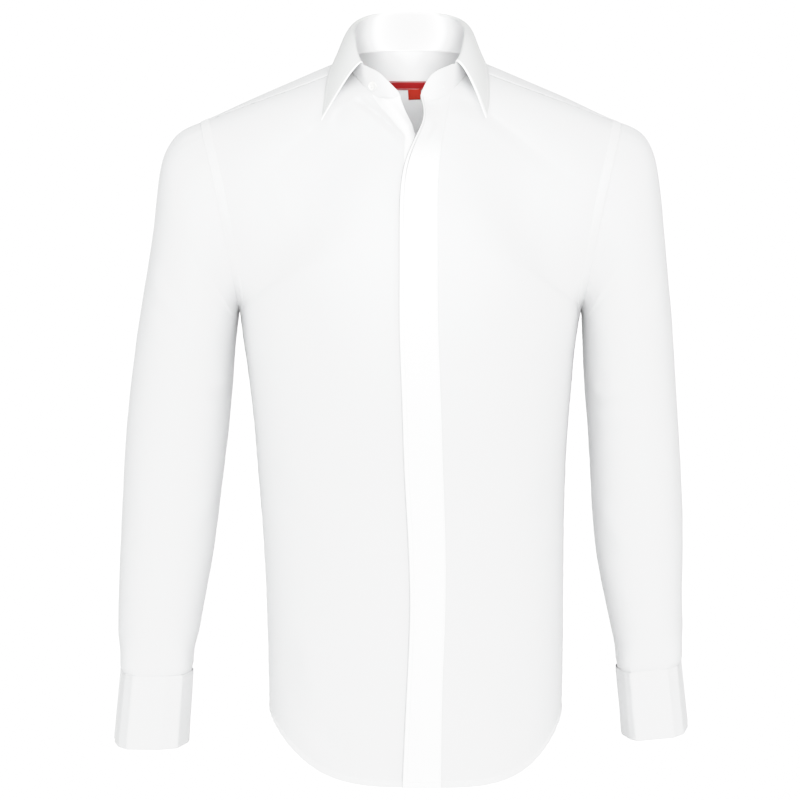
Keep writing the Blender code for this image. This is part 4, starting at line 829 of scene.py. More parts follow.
def shell(name, outer, inner, mats, closed=False, pick=None, rim=0.45, uv=None, sharp=50.0, under=None):
    """A closed thin shell between two grids of points, with rounded edges.
    closed: the columns run round.  pick(row, col) arrays choose the material, and
    under the one of the inner face."""
    rows, cols = outer.shape[:2]
    count = rows * cols
    o = np.arange(count).reshape(rows, cols)
    i = o + count
    verts = [outer.reshape(-1, 3), inner.reshape(-1, 3)]
    if uv is None:
        uv = np.stack([run_along(outer, 1), run_along(outer, 0)], axis=2)
    uvs = [uv.reshape(-1, 2)] * 2
    faces, picks = [], []

    def quads(a, b, c, d, kind):
        faces.append(np.stack([a.ravel(), b.ravel(), c.ravel(), d.ravel()], axis=1))
        picks.append(np.broadcast_to(kind, a.shape).ravel())

    kind = np.zeros((rows - 1, cols if closed else cols - 1), dtype=int) if pick is None else pick
    nxt = np.roll(o, -1, axis=1) if closed else o[:, 1:]
    cur = o if closed else o[:, :-1]
    quads(cur[:-1], nxt[:-1], nxt[1:], cur[1:], kind)
    quads(nxt[:-1] + count, cur[:-1] + count, cur[1:] + count, nxt[1:] + count,
          kind if under is None else np.full_like(kind, under))

    def edge(line, inward, kinds, loop):
        """Round one open edge: line and inward are the indices on it and beside it."""
        po, pi = outer.reshape(-1, 3)[line], inner.reshape(-1, 3)[line]
        qo = outer.reshape(-1, 3)[inward]
        thick = np.linalg.norm(po - pi, axis=1, keepdims=True)
        mid = (po + pi) / 2 + units(po - qo) * thick * rim
        base = sum(len(v) for v in verts)
        verts.append(mid)
        uvs.append(uv.reshape(-1, 2)[line])
        m = base + np.arange(len(line))
        a, b = (np.arange(len(line)), np.roll(np.arange(len(line)), -1)) if loop else \
            (np.arange(len(line) - 1), np.arange(1, len(line)))
        quads(line[b], line[a], m[a], m[b], kinds)
        quads(m[b], m[a], line[a] + count, line[b] + count, kinds)
        return m

    first = edge(o[0], o[1], kind[0], closed)
    last = edge(o[-1][::-1], o[-2][::-1], kind[-1][::-1] if not closed else kind[-1], closed)
    if not closed:
        left = edge(o[:, 0][::-1], o[:, 1][::-1], kind[:, 0][::-1], False)
        right = edge(o[:, -1], o[:, -2], kind[:, -1], False)
        # the four corners: join the rounded edges' ends
        for ring, k, other, j, v in ((first, 0, left, -1, o[0, 0]), (first, -1, right, 0, o[0, -1]),
                                     (last, 0, right, -1, o[-1, -1]), (last, -1, left, 0, o[-1, 0])):
            flip = (k == 0)
            a, b = ring[k], other[j]
            tri = [(v, a, b), (a, v + count, b)] if flip else [(v, b, a), (b, v + count, a)]
            faces.append(np.array([t + (t[0],) for t in tri]))
            picks.append(np.zeros(2, dtype=int))
    verts, uvs = np.concatenate(verts), np.concatenate(uvs)
    clean, kinds = [], []
    for f, k in zip(faces, picks):
        for row, kk in zip(f.tolist(), np.asarray(k).tolist()):
            if row[0] == row[3]:
                row = row[:3]
            clean.append(row)
            kinds.append(kk)
    obj = mesh_object(name, verts, clean, uvs, mats, kinds, sharp)
    bm = bmesh.new()
    bm.from_mesh(obj.data)
    if bm.calc_volume(signed=True) < 0:
        bmesh.ops.reverse_faces(bm, faces=bm.faces)
        bm.to_mesh(obj.data)
    bm.free()
    obj.data.shade_smooth()
    obj.data.set_sharp_from_angle(angle=math.radians(sharp))
    return obj


def area_of(grid, closed=False):
    g = np.concatenate([grid, grid[:, :1]], axis=1) if closed else grid
    d1, d2 = g[1:, 1:] - g[:-1, :-1], g[1:, :-1] - g[:-1, 1:]
    return float(np.linalg.norm(np.cross(d1, d2), axis=2).sum() / 2)


def girth_and_length(grid, closed=False):
    g = np.concatenate([grid, grid[:, :1]], axis=1) if closed else grid
    return (float(np.linalg.norm(np.diff(g, axis=1), axis=2).sum(axis=1).max()),
            float(np.linalg.norm(np.diff(g, axis=0), axis=2).sum(axis=0).max()))


# ------------------------------------------------------------------ stitches
class Thread:
    """Stitches collected into one piece."""

    def __init__(self):
        self.verts, self.faces = [], []

    def stitch(self, a, b, up, radius):
        along = units(b - a)
        side = units(np.cross(along, up))
        base = len(self.verts)
        mid = [a + (b - a) * 0.22 + up * radius * 0.2, a + (b - a) * 0.78 + up * radius * 0.2]
        self.verts.append(a - up * radius * 0.9)
        for m in mid:
            for x, y in ((1, 0), (0, 1), (-1, 0), (0, -1)):
                self.verts.append(m + side * x * radius + up * y * radius * 0.8)
        self.verts.append(b - up * radius * 0.9)
        p, q = base + 1, base + 5
        for k in range(4):
            j = (k + 1) % 4
            self.faces += [(base, p + k, p + j), (p + k, q + k, q + j, p + j), (q + k, base + 9, q + j)]

    def line(self, points, normals, pitch=0.0026, length=0.0019, radius=0.00019, lift=0.00004):
        points, normals = np.asarray(points), np.asarray(normals)
        run = np.concatenate([[0.0], np.cumsum(np.linalg.norm(np.diff(points, axis=0), axis=1))])
        if run[-1] < pitch:
            return self
        count = int(run[-1] / pitch)
        starts = (np.arange(count) + 0.5) * run[-1] / count - length / 2

        def at(s):
            return (np.stack([np.interp(s, run, points[:, i]) for i in range(3)], axis=1),
                    units(np.stack([np.interp(s, run, normals[:, i]) for i in range(3)], axis=1)))
        a, up = at(starts)
        b, _ = at(starts + length)
        for k in range(count):
            self.stitch(a[k] + up[k] * lift, b[k] + up[k] * lift, up[k], radius)
        return self

    def piece(self, name, mat):
        obj = mesh_object(name, self.verts, self.faces, None, [mat], sharp=80.0)
        bm = bmesh.new()
        bm.from_mesh(obj.data)
        bmesh.ops.recalc_face_normals(bm, faces=bm.faces)
        bm.to_mesh(obj.data)
        bm.free()
        return obj


def beside(grid, normals, edge, dist):
    """The line on a grid at a distance from one of its edges, with normals."""
    g, n = grid, normals
    if edge in ("first_row", "last_row"):
        g, n = g.transpose(1, 0, 2), n.transpose(1, 0, 2)
    if edge.startswith("last"):
        g, n = g[:, ::-1], n[:, ::-1]
    run = run_along(g, 1)
    pts, nrm = [], []
    for r in range(len(g)):
        d = dist if np.isscalar(dist) else dist[r]
        pts.append([np.interp(d, run[r], g[r, :, i]) for i in range(3)])
        nrm.append([np.interp(d, run[r], n[r, :, i]) for i in range(3)])
    return np.array(pts), units(np.array(nrm))


def lap_strip(name, rows, mats, width, closed_ends=False, rise=0.00050, stitch=(0.0012, -0.0016)):
    """A flat folded strip that lies along an edge.  rows: for each step along the
    edge, the points and normals from the edge inwards.  Returns grid and normals."""
    dist = np.array([0.0002, 0.0007, 0.0013, 0.0020, width * 0.35, width * 0.65, width - 0.0024,
                     width - 0.0016, width - 0.0008, width - 0.00005])
    high = np.array([0.35, 0.95, 0.72, 1.0, 1.06, 1.06, 1.0, 0.74, 0.98, 0.86]) * rise
    outer, inner, nrm = [], [], []
    for pts, ns in rows:
        run = np.concatenate([[0.0], np.cumsum(np.linalg.norm(np.diff(pts, axis=0), axis=1))])
        p = np.stack([np.interp(dist, run, pts[:, i]) for i in range(3)], axis=1)
        n = units(np.stack([np.interp(dist, run, ns[:, i]) for i in range(3)], axis=1))
        outer.append(p + n * high[:, None])
        inner.append(p - n * 0.00025)
        nrm.append(n)
    outer, inner, nrm = np.array(outer), np.array(inner), np.array(nrm)
    along = run_along(outer, 0)
    outer = outer + nrm * (pucker(np.zeros_like(along), along, 0.0085, 0.00012, 1.0, 1.3))[..., None]
    shell(name, outer, inner, mats, closed=False, rim=0.3, sharp=60.0)
    return outer, nrm
# ------------------------------------------------------------------ materials
def node(tree, kind, **values):
    n = tree.nodes.new(kind)
    for key, value in values.items():
        setattr(n, key, value)
    return n


def math_node(tree, op, a, b=None, clamp=False):
    n = node(tree, "ShaderNodeMath", operation=op, use_clamp=clamp)
    for k, v in ((0, a), (1, b)):
        if v is None:
            continue
        if isinstance(v, (int, float)):
            n.inputs[k].default_value = v
        else:
            tree.links.new(v, n.inputs[k])
    return n.outputs[0]


def base_material(name, rough, sheen=0.0, specular=0.3):
    m = bpy.data.materials.new(name)
    m.use_nodes = True
    b = m.node_tree.nodes["Principled BSDF"]
    b.inputs["Roughness"].default_value = rough
    b.inputs["Specular IOR Level"].default_value = specular
    b.inputs["Sheen Weight"].default_value = sheen
    b.inputs["Sheen Roughness"].default_value = 0.45
    return m, m.node_tree, b


def vector_scaled(tree, source, scale):
    n = node(tree, "ShaderNodeVectorMath", operation="MULTIPLY")
    tree.links.new(source, n.inputs[0])
    n.inputs[1].default_value = scale
    return n.outputs[0]


def noise_at(tree, vector, scale, detail=2.0, rough=0.5):
    n = node(tree, "ShaderNodeTexNoise")
    n.inputs["Scale"].default_value = scale
    n.inputs["Detail"].default_value = detail
    n.inputs["Roughness"].default_value = rough
    tree.links.new(vector, n.inputs["Vector"])
    return n.outputs["Fac"]


def mix_colour(tree, fac, a, b):
    n = node(tree, "ShaderNodeMix", data_type="RGBA")
    tree.links.new(fac, n.inputs["Factor"])
    for k, v in (("A", a), ("B", b)):
        sock = [s for s in n.inputs if s.name == k and s.type == "RGBA"][0]
        if isinstance(v, tuple):
            sock.default_value = (*v, 1.0)
        else:
            tree.links.new(v, sock)
    return [s for s in n.outputs if s.type == "RGBA"][0]


def woven(name, dark, light, thread=0.00030, rough=0.84, sheen=0.10, bump=0.35, slub=0.5,
          rib=False, above=None):
    """Plain-woven cloth: crossing threads, uneven yarns and a slow drift of tone."""
    m, tree, b = base_material(name, rough, sheen, 0.22)
    uv = node(tree, "ShaderNodeUVMap", uv_map="cloth").outputs[0]
    place = node(tree, "ShaderNodeTexCoord").outputs["Object"]
    warp = node(tree, "ShaderNodeTexWave", wave_type="BANDS", bands_direction="X", wave_profile="SIN")
    weft = node(tree, "ShaderNodeTexWave", wave_type="BANDS", bands_direction="Y", wave_profile="SIN")
    for w, k in ((warp, 1.0), (weft, 0.86 if not rib else 0.45)):
        w.inputs["Scale"].default_value = 0.314 / (2 * thread) * k
        w.inputs["Distortion"].default_value = 0.6
        w.inputs["Detail"].default_value = 1.0
        w.inputs["Detail Scale"].default_value = 0.4
        tree.links.new(uv, w.inputs["Vector"])
    over = math_node(tree, "MULTIPLY", math_node(tree, "SUBTRACT", warp.outputs["Fac"], 0.5),
                     math_node(tree, "SUBTRACT", weft.outputs["Fac"], 0.5))
    yarn_v = noise_at(tree, vector_scaled(tree, uv, (1 / 0.0011, 1 / 0.016, 1.0)), 1.0, 2.0)
    yarn_h = noise_at(tree, vector_scaled(tree, uv, (1 / 0.014, 1 / 0.0010, 1.0)), 1.0, 2.0)
    yarns = math_node(tree, "ADD", math_node(tree, "MULTIPLY", yarn_v, slub),
                      math_node(tree, "MULTIPLY", yarn_h, slub))
    height = math_node(tree, "ADD", math_node(tree, "MULTIPLY", over, 1.6), yarns)
    bumped = node(tree, "ShaderNodeBump")
    bumped.inputs["Strength"].default_value = bump
    bumped.inputs["Distance"].default_value = 0.00009
    tree.links.new(height, bumped.inputs["Height"])
    tree.links.new(bumped.outputs[0], b.inputs["Normal"])
    drift = noise_at(tree, place, 9.0, 3.0, 0.55)
    tone = mix_colour(tree, drift, dark, light)
    if above:                                # a tone above a height: painted shade on the top of the placket, band and edge lines, painted light on the upper armhole seam
        split = node(tree, "ShaderNodeSeparateXYZ")
        tree.links.new(place, split.inputs[0])
        step = node(tree, "ShaderNodeMapRange", interpolation_type="SMOOTHSTEP")
        step.inputs["From Min"].default_value = above[0]
        step.inputs["From Max"].default_value = above[1]
        tree.links.new(split.outputs["Z"], step.inputs["Value"])
        tone = mix_colour(tree, step.outputs["Result"], tone, above[2])
    mid = tuple((d + l) / 2 for d, l in zip(dark, light))
    fine = math_node(tree, "MULTIPLY", math_node(tree, "ADD", over, math_node(tree, "SUBTRACT", yarns, slub)),
                     0.10)
    fleck = math_node(tree, "ADD", fine, 0.0, True)
    tree.links.new(mix_colour(tree, fleck, tone, tuple(c * 0.90 for c in mid)), b.inputs["Base Color"])
    rough_noise = noise_at(tree, place, 60.0, 2.0)
    tree.links.new(math_node(tree, "ADD", math_node(tree, "MULTIPLY", rough_noise, 0.08), rough - 0.04),
                   b.inputs["Roughness"])
    return m


def threaded(name, tone, pitch=0.00035, rough=0.7):
    """Sewing thread: a fine twist."""
    m, tree, b = base_material(name, rough, 0.1, 0.35)
    place = node(tree, "ShaderNodeTexCoord").outputs["Object"]
    twist = node(tree, "ShaderNodeTexWave", wave_type="BANDS", bands_direction="DIAGONAL", wave_profile="SIN")
    twist.inputs["Scale"].default_value = 0.314 / pitch
    tree.links.new(place, twist.inputs["Vector"])
    bumped = node(tree, "ShaderNodeBump")
    bumped.inputs["Strength"].default_value = 0.4
    bumped.inputs["Distance"].default_value = 0.00005
    tree.links.new(twist.outputs["Fac"], bumped.inputs["Height"])
    tree.links.new(bumped.outputs[0], b.inputs["Normal"])
    drift = noise_at(tree, place, 300.0, 1.0)
    tree.links.new(mix_colour(tree, drift, tuple(c * 0.95 for c in tone), tone), b.inputs["Base Color"])
    return m


def pearly(name):
    """Button plastic with a faint milky swirl."""
    m, tree, b = base_material(name, 0.22, 0.0, 0.5)
    place = node(tree, "ShaderNodeTexCoord").outputs["Object"]
    swirl = node(tree, "ShaderNodeTexWave", wave_type="BANDS", bands_direction="DIAGONAL", wave_profile="SIN")
    swirl.inputs["Scale"].default_value = 60.0
    swirl.inputs["Distortion"].default_value = 9.0
    swirl.inputs["Detail"].default_value = 3.0
    tree.links.new(place, swirl.inputs["Vector"])
    tree.links.new(mix_colour(tree, swirl.outputs["Fac"], (0.74, 0.75, 0.74), (0.88, 0.87, 0.84)),
                   b.inputs["Base Color"])
    b.inputs["Coat Weight"].default_value = 0.4
    b.inputs["Coat Roughness"].default_value = 0.12
    rough_noise = noise_at(tree, place, 900.0, 2.0)
    tree.links.new(math_node(tree, "ADD", math_node(tree, "MULTIPLY", rough_noise, 0.10), 0.18),
                   b.inputs["Roughness"])
    return m


COTTON = woven("poplin", (0.715, 0.717, 0.722), (0.735, 0.736, 0.739))
DOUBLE = woven("poplin_double", (0.755, 0.757, 0.761), (0.775, 0.776, 0.779))
# placket cloth; above z -0.08 it fades to the body's tone: painted shade on the placket's top by the collar
FLY_CLOTH_SHADED_TOP = woven("poplin_placket_painted_shade_top", (0.880, 0.880, 0.882), (0.900, 0.900, 0.901), slub=0.35,
                  above=(-0.118, -0.080, (0.725, 0.727, 0.731)))
# band cloth, a little darker above z -0.09: painted shade on its top by the collar
BAND_CLOTH_SHADED_TOP = woven("poplin_band_painted_shade_top", (0.850, 0.850, 0.852), (0.875, 0.875, 0.876), slub=0.35,
                   above=(-0.118, -0.090, (0.850, 0.851, 0.853)))
# dark line on the faces of the dip by the placket's front edge, above z -0.10: painted shade
DITCH_PAINTED_SHADE = woven("poplin_ditch_painted_shade", (0.850, 0.850, 0.852), (0.875, 0.875, 0.876), slub=0.35,
                    above=(-0.136, -0.104, (0.420, 0.421, 0.424)))
# grey cloth on the turn of the placket's rolled front edge, darker above z -0.15: painted shade
ROLL_PAINTED_SHADE = woven("poplin_rolled_edge_painted_shade", (0.600, 0.601, 0.605), (0.620, 0.621, 0.624), slub=0.35,
                   above=(-0.250, -0.150, (0.400, 0.401, 0.404)))
# a whiter copy of the collar cloth for the leaf's front edges and underside: painted highlight on the edges,
# painted light under the leaf
LEAF_PAINTED_LIGHT_CLOTH = woven("poplin_edge", (0.930, 0.930, 0.932), (0.950, 0.950, 0.951), bump=0.25, slub=0.30)
# the collar leaf's cloth, darker than the stand and cuffs of the same cloth: painted shade
LEAF_CLOTH_PAINTED_SHADE = woven("poplin_leaf_painted_shade", (0.640, 0.645, 0.641), (0.662, 0.666, 0.662), bump=0.25, slub=0.30)
# armhole seam cloth, whiter above z -0.12: painted light on the seam's upper part
FELL_CLOTH_LIT_TOP = woven("poplin_fell_painted_light_top", (0.722, 0.724, 0.729), (0.740, 0.741, 0.744),
                   above=(-0.205, -0.120, (0.775, 0.777, 0.781)))
FUSED_CLOTH = woven("poplin_fused", (0.725, 0.727, 0.732), (0.745, 0.746, 0.749), bump=0.25, slub=0.30)
THREAD = threaded("sewing_thread", (0.84, 0.84, 0.84))
RIBBON = woven("ribbon_red", (0.27, 0.002, 0.003), (0.35, 0.005, 0.006), thread=0.00035, rough=0.62,
               sheen=0.2, bump=0.6, rib=True)
TAB_RIBBON = woven("ribbon_orange_red", (0.40, 0.016, 0.005), (0.47, 0.026, 0.008), thread=0.00035,
                   rough=0.60, sheen=0.2, bump=0.6, rib=True)
PEARL = pearly("button_pearl")
GREY = woven("slit_shadow", (0.20, 0.20, 0.21), (0.26, 0.26, 0.27))


def place(obj, slot, *nodes):
    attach(obj, "root")
    if nodes:
        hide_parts(*nodes)
    return obj


def declare(obj, grid, closed=False):
    """State the cut of one cloth piece."""
    w, l = girth_and_length(grid, closed)
    print("CUT %s girth %.3f length %.3f area %.4f" % (obj.name, w, l, area_of(grid, closed)))


# ------------------------------------------------------------------ body panels
HEM_WS = [0.0, 0.0010, 0.0045, 0.0085, 0.0108, 0.0118, 0.0128, 0.0140, 0.0152, 0.0190]
HEM_UP = [0.50, 0.85, 0.95, 0.95, 0.90, 0.35, 0.90, 0.85, 0.0, 0.0]     # shares of LIP
low_w = HEM_WS + list(np.linspace(HEM_WS[-1], 1, ROWS_LOW + 1))[1:]
front_w = (low_w + list(np.linspace(1, 1.6, ROWS_MID + 1))[1:]
           + list(np.linspace(1.6, 2, ROWS_NECK + 1))[1:])
back_w = low_w + list(np.linspace(1, 2, ROWS_BACK + 1))[1:]
col_share = np.linspace(0, 1, COLS + 1)
back_share = np.linspace(0, 1, COLS + COLS_NECK // 2 + 1)


def oriented(grid):
    n = face_normals(grid, False)
    mid = grid.copy()
    mid[..., 2] = np.where(grid[..., 2] > -0.12, grid[..., 2] + 0.12, 0.0)
    return n if (mid * n).sum() > 0 else -n


def hem_profile(ws):
    up = np.zeros(len(ws))
    up[:len(HEM_UP)] = np.array(HEM_UP) * LIP
    return up[:, None]


def panel(grid, ws, seed, ends=("first_col", "last_col")):
    """Outer points and normals of a body panel with its folds, hem and puckers."""
    n = oriented(grid)
    h = body_relief(grid, n)
    across, along = run_along(grid, 1), run_along(grid, 0)
    if "first_col" in ends:
        h = h + pucker(across, along, 0.0095, 0.00013, 0.006, seed)
    if "last_col" in ends:
        h = h + pucker(across[:, -1:] - across, along, 0.0105, 0.00020, 0.009, seed + 2.0)
    if ws is not None:
        h = h + hem_profile(ws) + pucker(along, across, 0.0125, 0.00030, 0.010, seed + 4.0)
        h = h + pucker(along[-1:] - along, across, 0.0100, 0.00015, 0.007, seed + 5.0)
    return grid + n * h[..., None], n


def eased(grid, ws):
    """Even out the turn of the form at the underarm, away from the side seams."""
    g = grid.copy()
    across, along = run_along(grid, 1), run_along(grid, 0)
    k = int(np.argmin(np.abs(np.array(ws) - 1.0)))
    edge = np.minimum(across, across[:, -1:] - across)
    w = smooths(1.4 - np.abs(along - along[k]) / 0.020) * smooths((edge - 0.002) / 0.014) * 0.5
    for _ in range(60):
        g[1:-1] += ((g[:-2] + g[2:]) / 2 - g[1:-1]) * w[1:-1, :, None]
    return g


outers, norms = {}, {}
for side, seed in (("left", 0.7), ("right", 1.9)):
    grid = eased(front_grid(side, front_w, col_share), front_w)
    outers["front_" + side], norms["front_" + side] = panel(grid, front_w, seed)
outers["back"], norms["back"] = panel(eased(back_grid(back_w, back_share), back_w), back_w, 3.1)
grid = yoke_grid(ROWS_YOKE, COLS, COLS_NECK, back_share)
n = oriented(grid)
along = run_along(grid, 0)
across = run_along(grid, 1)
h = (body_relief(grid, n) + LIP * 0.9 + pucker(along, across, 0.0100, 0.00013, 0.006, 2.2)
     + pucker(along[-1:] - along, across, 0.0100, 0.00016, 0.007, 4.4))
outers["yoke"], norms["yoke"] = grid + n * h[..., None], n

body = {}
for name in ("front_left", "front_right", "back", "yoke"):
    outer, n = outers[name], norms[name]
    pick = np.zeros((outer.shape[0] - 1, outer.shape[1] - 1), dtype=int)
    if name != "yoke":
        pick[:8] = 1
    body[name] = place(shell(name + "_cloth", outer, outer - n * SHEET, [COTTON, DOUBLE], pick=pick),
                       "white_cotton", name)

# ------------------------------------------------------------------ flat seams
faces, verts = [], []
for name in ("front_left", "front_right", "back", "yoke"):
    g = outers[name]
    base = len(verts)
    verts += [tuple(p) for p in g.reshape(-1, 3)]
    idx = np.arange(g.shape[0] * g.shape[1]).reshape(g.shape[:2]) + base
    q = np.stack([idx[:-1, :-1], idx[:-1, 1:], idx[1:, 1:], idx[1:, :-1]], axis=-1).reshape(-1, 4)
    faces += [tuple(f) for f in q.tolist()]
body_tree = bvhtree.BVHTree.FromPolygons(verts, faces)


def on_body(p, out):
    """Nearest point of the body cloth and its outward normal."""
    loc, n, _, _ = body_tree.find_nearest(tuple(p))
    n = np.array(n)
    return np.array(loc), (n if n @ out > 0 else -n)


def armhole_rows(side, count, width):
    rows = []
    angles = np.linspace(0, 360, count + 1)
    for a in angles:
        p = armhole(side, a)
        t = unit(armhole(side, a + 0.5) - armhole(side, a - 0.5))
        guess = p - np.array([0.0, 0.0, -0.14 if p[2] < -0.14 else p[2]])
        guess[2] *= 0.4
        loc, n = on_body(p, guess)
        inward = unit(np.cross(n, t))
        if inward @ (np.array([0.0, 0.0, -0.45]) - p) < 0:
            inward = -inward
        rows.append((p, n, inward))
    ns = np.array([r[1] for r in rows])
    ins = np.array([r[2] for r in rows])
    for _ in range(5):                       # even out the directions round the hole
        for arr in (ns, ins):
            loop = arr[:-1]
            sm = units(np.roll(loop, 1, axis=0) + 2 * loop + np.roll(loop, -1, axis=0))
            arr[:-1] = sm
            arr[-1] = sm[0]
    out = []
    for k, (p, _, _) in enumerate(rows):
        pts, nn = [], []
        for d in np.linspace(0.0, width * 1.15, 12):
            loc, n = on_body(p + ins[k] * d, ns[k])
            pts.append(loc)
            nn.append(unit(n + ns[k] * 1.5))
        out.append((np.array(pts), np.array(nn)))
    return out


thread_body = Thread()
for side in ("left", "right"):
    rows = armhole_rows(side, 300, FELL)
    outer, n = lap_strip("armhole_seam_" + side, rows, [FELL_CLOTH_LIT_TOP], FELL, rise=0.00040)
    place(PIECES["armhole_seam_" + side], "white_cotton")
    for d in (0.0013, FELL - 0.0017):
        thread_body.line(*beside(outer, n, "first_col", d))
    rows = []                                # side seam, laid towards the back
    col = 0 if side == "left" else -1
    g, n = outers["back"], norms["back"]
    if side == "right":
        g, n = g[:, ::-1], n[:, ::-1]
    last = len(low_w)
    for r in range(8, last, 2):
        rows.append((g[r, :12], n[r, :12]))
    outer, n = lap_strip("side_seam_" + side, rows, [DOUBLE], SIDE_FELL)
    place(PIECES["side_seam_" + side], "white_cotton")
    for d in (0.0013, SIDE_FELL - 0.0017):
        thread_body.line(*beside(outer, n, "first_col", d))

for name in ("front_left", "front_right", "back"):
    g, n = outers[name], norms[name]
    thread_body.line(g[5], n[5], lift=0.00008)
g, n = outers["yoke"], norms["yoke"]
for edge in ("first_row", "last_row"):
    for d in (0.0015, 0.0070):
        pts, nn = beside(g, n, edge, d)
        if edge == "first_row":              # the shoulder seams only, not the neckline
            keep = len(pts) // 2
            cut = COLS
            thread_body.line(pts[2:cut], nn[2:cut])
            thread_body.line(pts[-cut:-2], nn[-cut:-2])
        else:
            thread_body.line(pts[3:-3], nn[3:-3])

# ------------------------------------------------------------------ fly and band
edge_w = [w for w in front_w if w <= 1.6 + 1e-9]
FLY_DEPTH = 0.0024


def edge_strip(side, fs):
    g = np.array([[strip_point(side, w, f) for f in fs] for w in edge_w])
    n = face_normals(g, False)
    n = n if (n * np.array([0.0, -1.0, 0.3])).sum() > 0 else -n
    h = body_relief(g, n) + hem_profile(edge_w)
    along = run_along(g, 0)
    return g, n, h, along


EDGE_DITCH = (0.108, 0.121, 0.134)            # the narrow dip of the edge stitching, drawn without thread; the dark line on its faces is painted shade
fly_f = np.concatenate([[0.03], EDGE_DITCH, np.linspace(0.150, 0.94, 22), [0.965, 0.985, 0.9985]])
g, n, h, along = edge_strip("left", fly_f)
across = run_along(g, 1)
h = h + pucker(across[:, -1:] - across, along, 0.0100, 0.00016, 0.007, 0.4) \
    + pucker(across, along, 0.0160, 0.00010, 0.006, 2.4) + LIP * 0.7
h[:, 2] -= 0.00100 * (0.25 + 0.75 * smooths((g[:, 2, 2] + 0.20) / 0.05))
top = g + n * h[..., None]
ahead = units(strip_edge := np.array([strip_point("left", w, 0.0) for w in edge_w]) - g[:, 0])
R_OUT = FLY_DEPTH / 2
hub = top[:, 0] - n[:, 0] * R_OUT
chain, slot = [top[:, k] for k in range(len(fly_f) - 1, -1, -1)], \
    [top[:, k] - n[:, k] * SHEET for k in range(len(fly_f) - 1, -1, -1)]
for a in np.radians((25, 50, 75, 100, 125, 150)):
    d = n[:, 0] * math.cos(a) + ahead * math.sin(a)
    chain.append(hub + d * R_OUT)
    slot.append(hub + d * (R_OUT - SHEET))
for k in range(0, len(fly_f) - 3, 2):
    chain.append(top[:, k] - n[:, k] * FLY_DEPTH)
    slot.append(top[:, k] - n[:, k] * (FLY_DEPTH - SHEET))
chain, slot = np.array(chain).transpose(1, 0, 2), np.array(slot).transpose(1, 0, 2)
pick = np.zeros((chain.shape[0] - 1, chain.shape[1] - 1), dtype=int)
last = len(fly_f) - 1                        # the chain runs back from the inner edge to the fold
# the faces of the dip: painted shade line on the upper placket
pick[:, last - 3:last - 1] = 1
# faces from 25 to 100 degrees round the rolled front edge: painted shade line
pick[:, last + 1:last + 4] = 2
fly_piece = place(shell("placket_left_cloth", chain, slot, [FLY_CLOTH_SHADED_TOP, DITCH_PAINTED_SHADE, ROLL_PAINTED_SHADE], pick=pick),
                  "white_cotton_fly", "placket_left")
thread_fly = Thread()
cut = fly_f[-1]
thread_fly.line(*[v[2:] for v in beside(top, n, "last_col", 0.0013)])
thread_fly.line(top[5, 1:], n[5, 1:], lift=0.00008)
fly_grid = chain

band_f = np.concatenate([[0.0, 0.02], np.linspace(0.06, 0.94, 21), [0.97, 0.998]])
g, n, h, along = edge_strip("right", band_f)
across = run_along(g, 1)
h = h + pucker(across[:, -1:] - across, along, 0.0100, 0.00014, 0.007, 1.4)
band_top = g + n * h[..., None]
band_piece = place(shell("placket_right_cloth", band_top, band_top - n * 0.0011, [BAND_CLOTH_SHADED_TOP]),
                   "white_cotton_fly", "placket_right")
thread_fly.line(*[v[2:] for v in beside(band_top, n, "last_col", 0.0015)])
thread_fly.line(*[v[2:] for v in beside(band_top, n, "first_col", 0.0020)])
band_grid = band_top

# ------------------------------------------------------------------ sleeves
sleeve_turns = ([float(np.interp(w, FRONT_ROWS[:, 0], FRONT_ROWS[:, 3])) for w in front_w if w >= 1.0])
sleeve_turns += list(np.linspace(FRONT_TOP, BACK_TOP, ROWS_YOKE + 1))[1:]
sleeve_turns += [float(np.interp(w, BACK_ROWS[:, 0], BACK_ROWS[:, 3])) for w in back_w if w >= 1.0][::-1][1:-1]


# the pressed cuff is flat in front with a turned-back facet at each side: corners of
# its front half as shares of half width, and how far they sit on the full ring
FACETS = {"right": ((-1.0, 0.0, 1.0), (-0.90, 0.0, 0.92), (-0.560, 0.0, 1.005), (0.31, 0.0, 1.0),
                    (0.80, 0.0, 0.985), (1.0, 0.0, 1.0)),
          "left": ((-1.0, 0.0, 1.0), (-0.91, 0.0, 0.93), (-0.69, 0.0, 1.0), (0.45, 0.0, 1.0),
                   (0.84, 0.0, 0.935), (1.0, 0.0, 1.0))}


def cuff_facets(side, q):
    """How much nearer the middle a point of the cuff's ring lies than on a plain ring."""
    half_w, half_d = CUFFS[side][5:7]
    p = CUFF_SQUARE
    corners = []
    for x, _, share in FACETS[side]:
        y = -(1 - min(abs(x), 1.0) ** p) ** (1 / p)
        corners.append((x * half_w * share, y * half_d * share))
    dense = []
    for a, b in zip(corners[:-1], corners[1:]):
        for t in np.linspace(0, 1, 40, endpoint=False):
            dense.append((a[0] + (b[0] - a[0]) * t, a[1] + (b[1] - a[1]) * t))
    dense = np.array(dense + [corners[-1]])
    at = np.arctan2(dense[:, 1], dense[:, 0])
    at[0] = -math.pi
    c, v = np.abs(np.cos(at)), np.abs(np.sin(at))
    full = ((c / half_w) ** p + (v / half_d) ** p) ** (-1 / p)
    share = np.hypot(dense[:, 0], dense[:, 1]) / full
    share[0] = share[-1] = 1.0
    phi = np.arctan2(q[..., 1], q[..., 0])
    return np.where(phi < 0, np.interp(phi, at, share), 1.0)


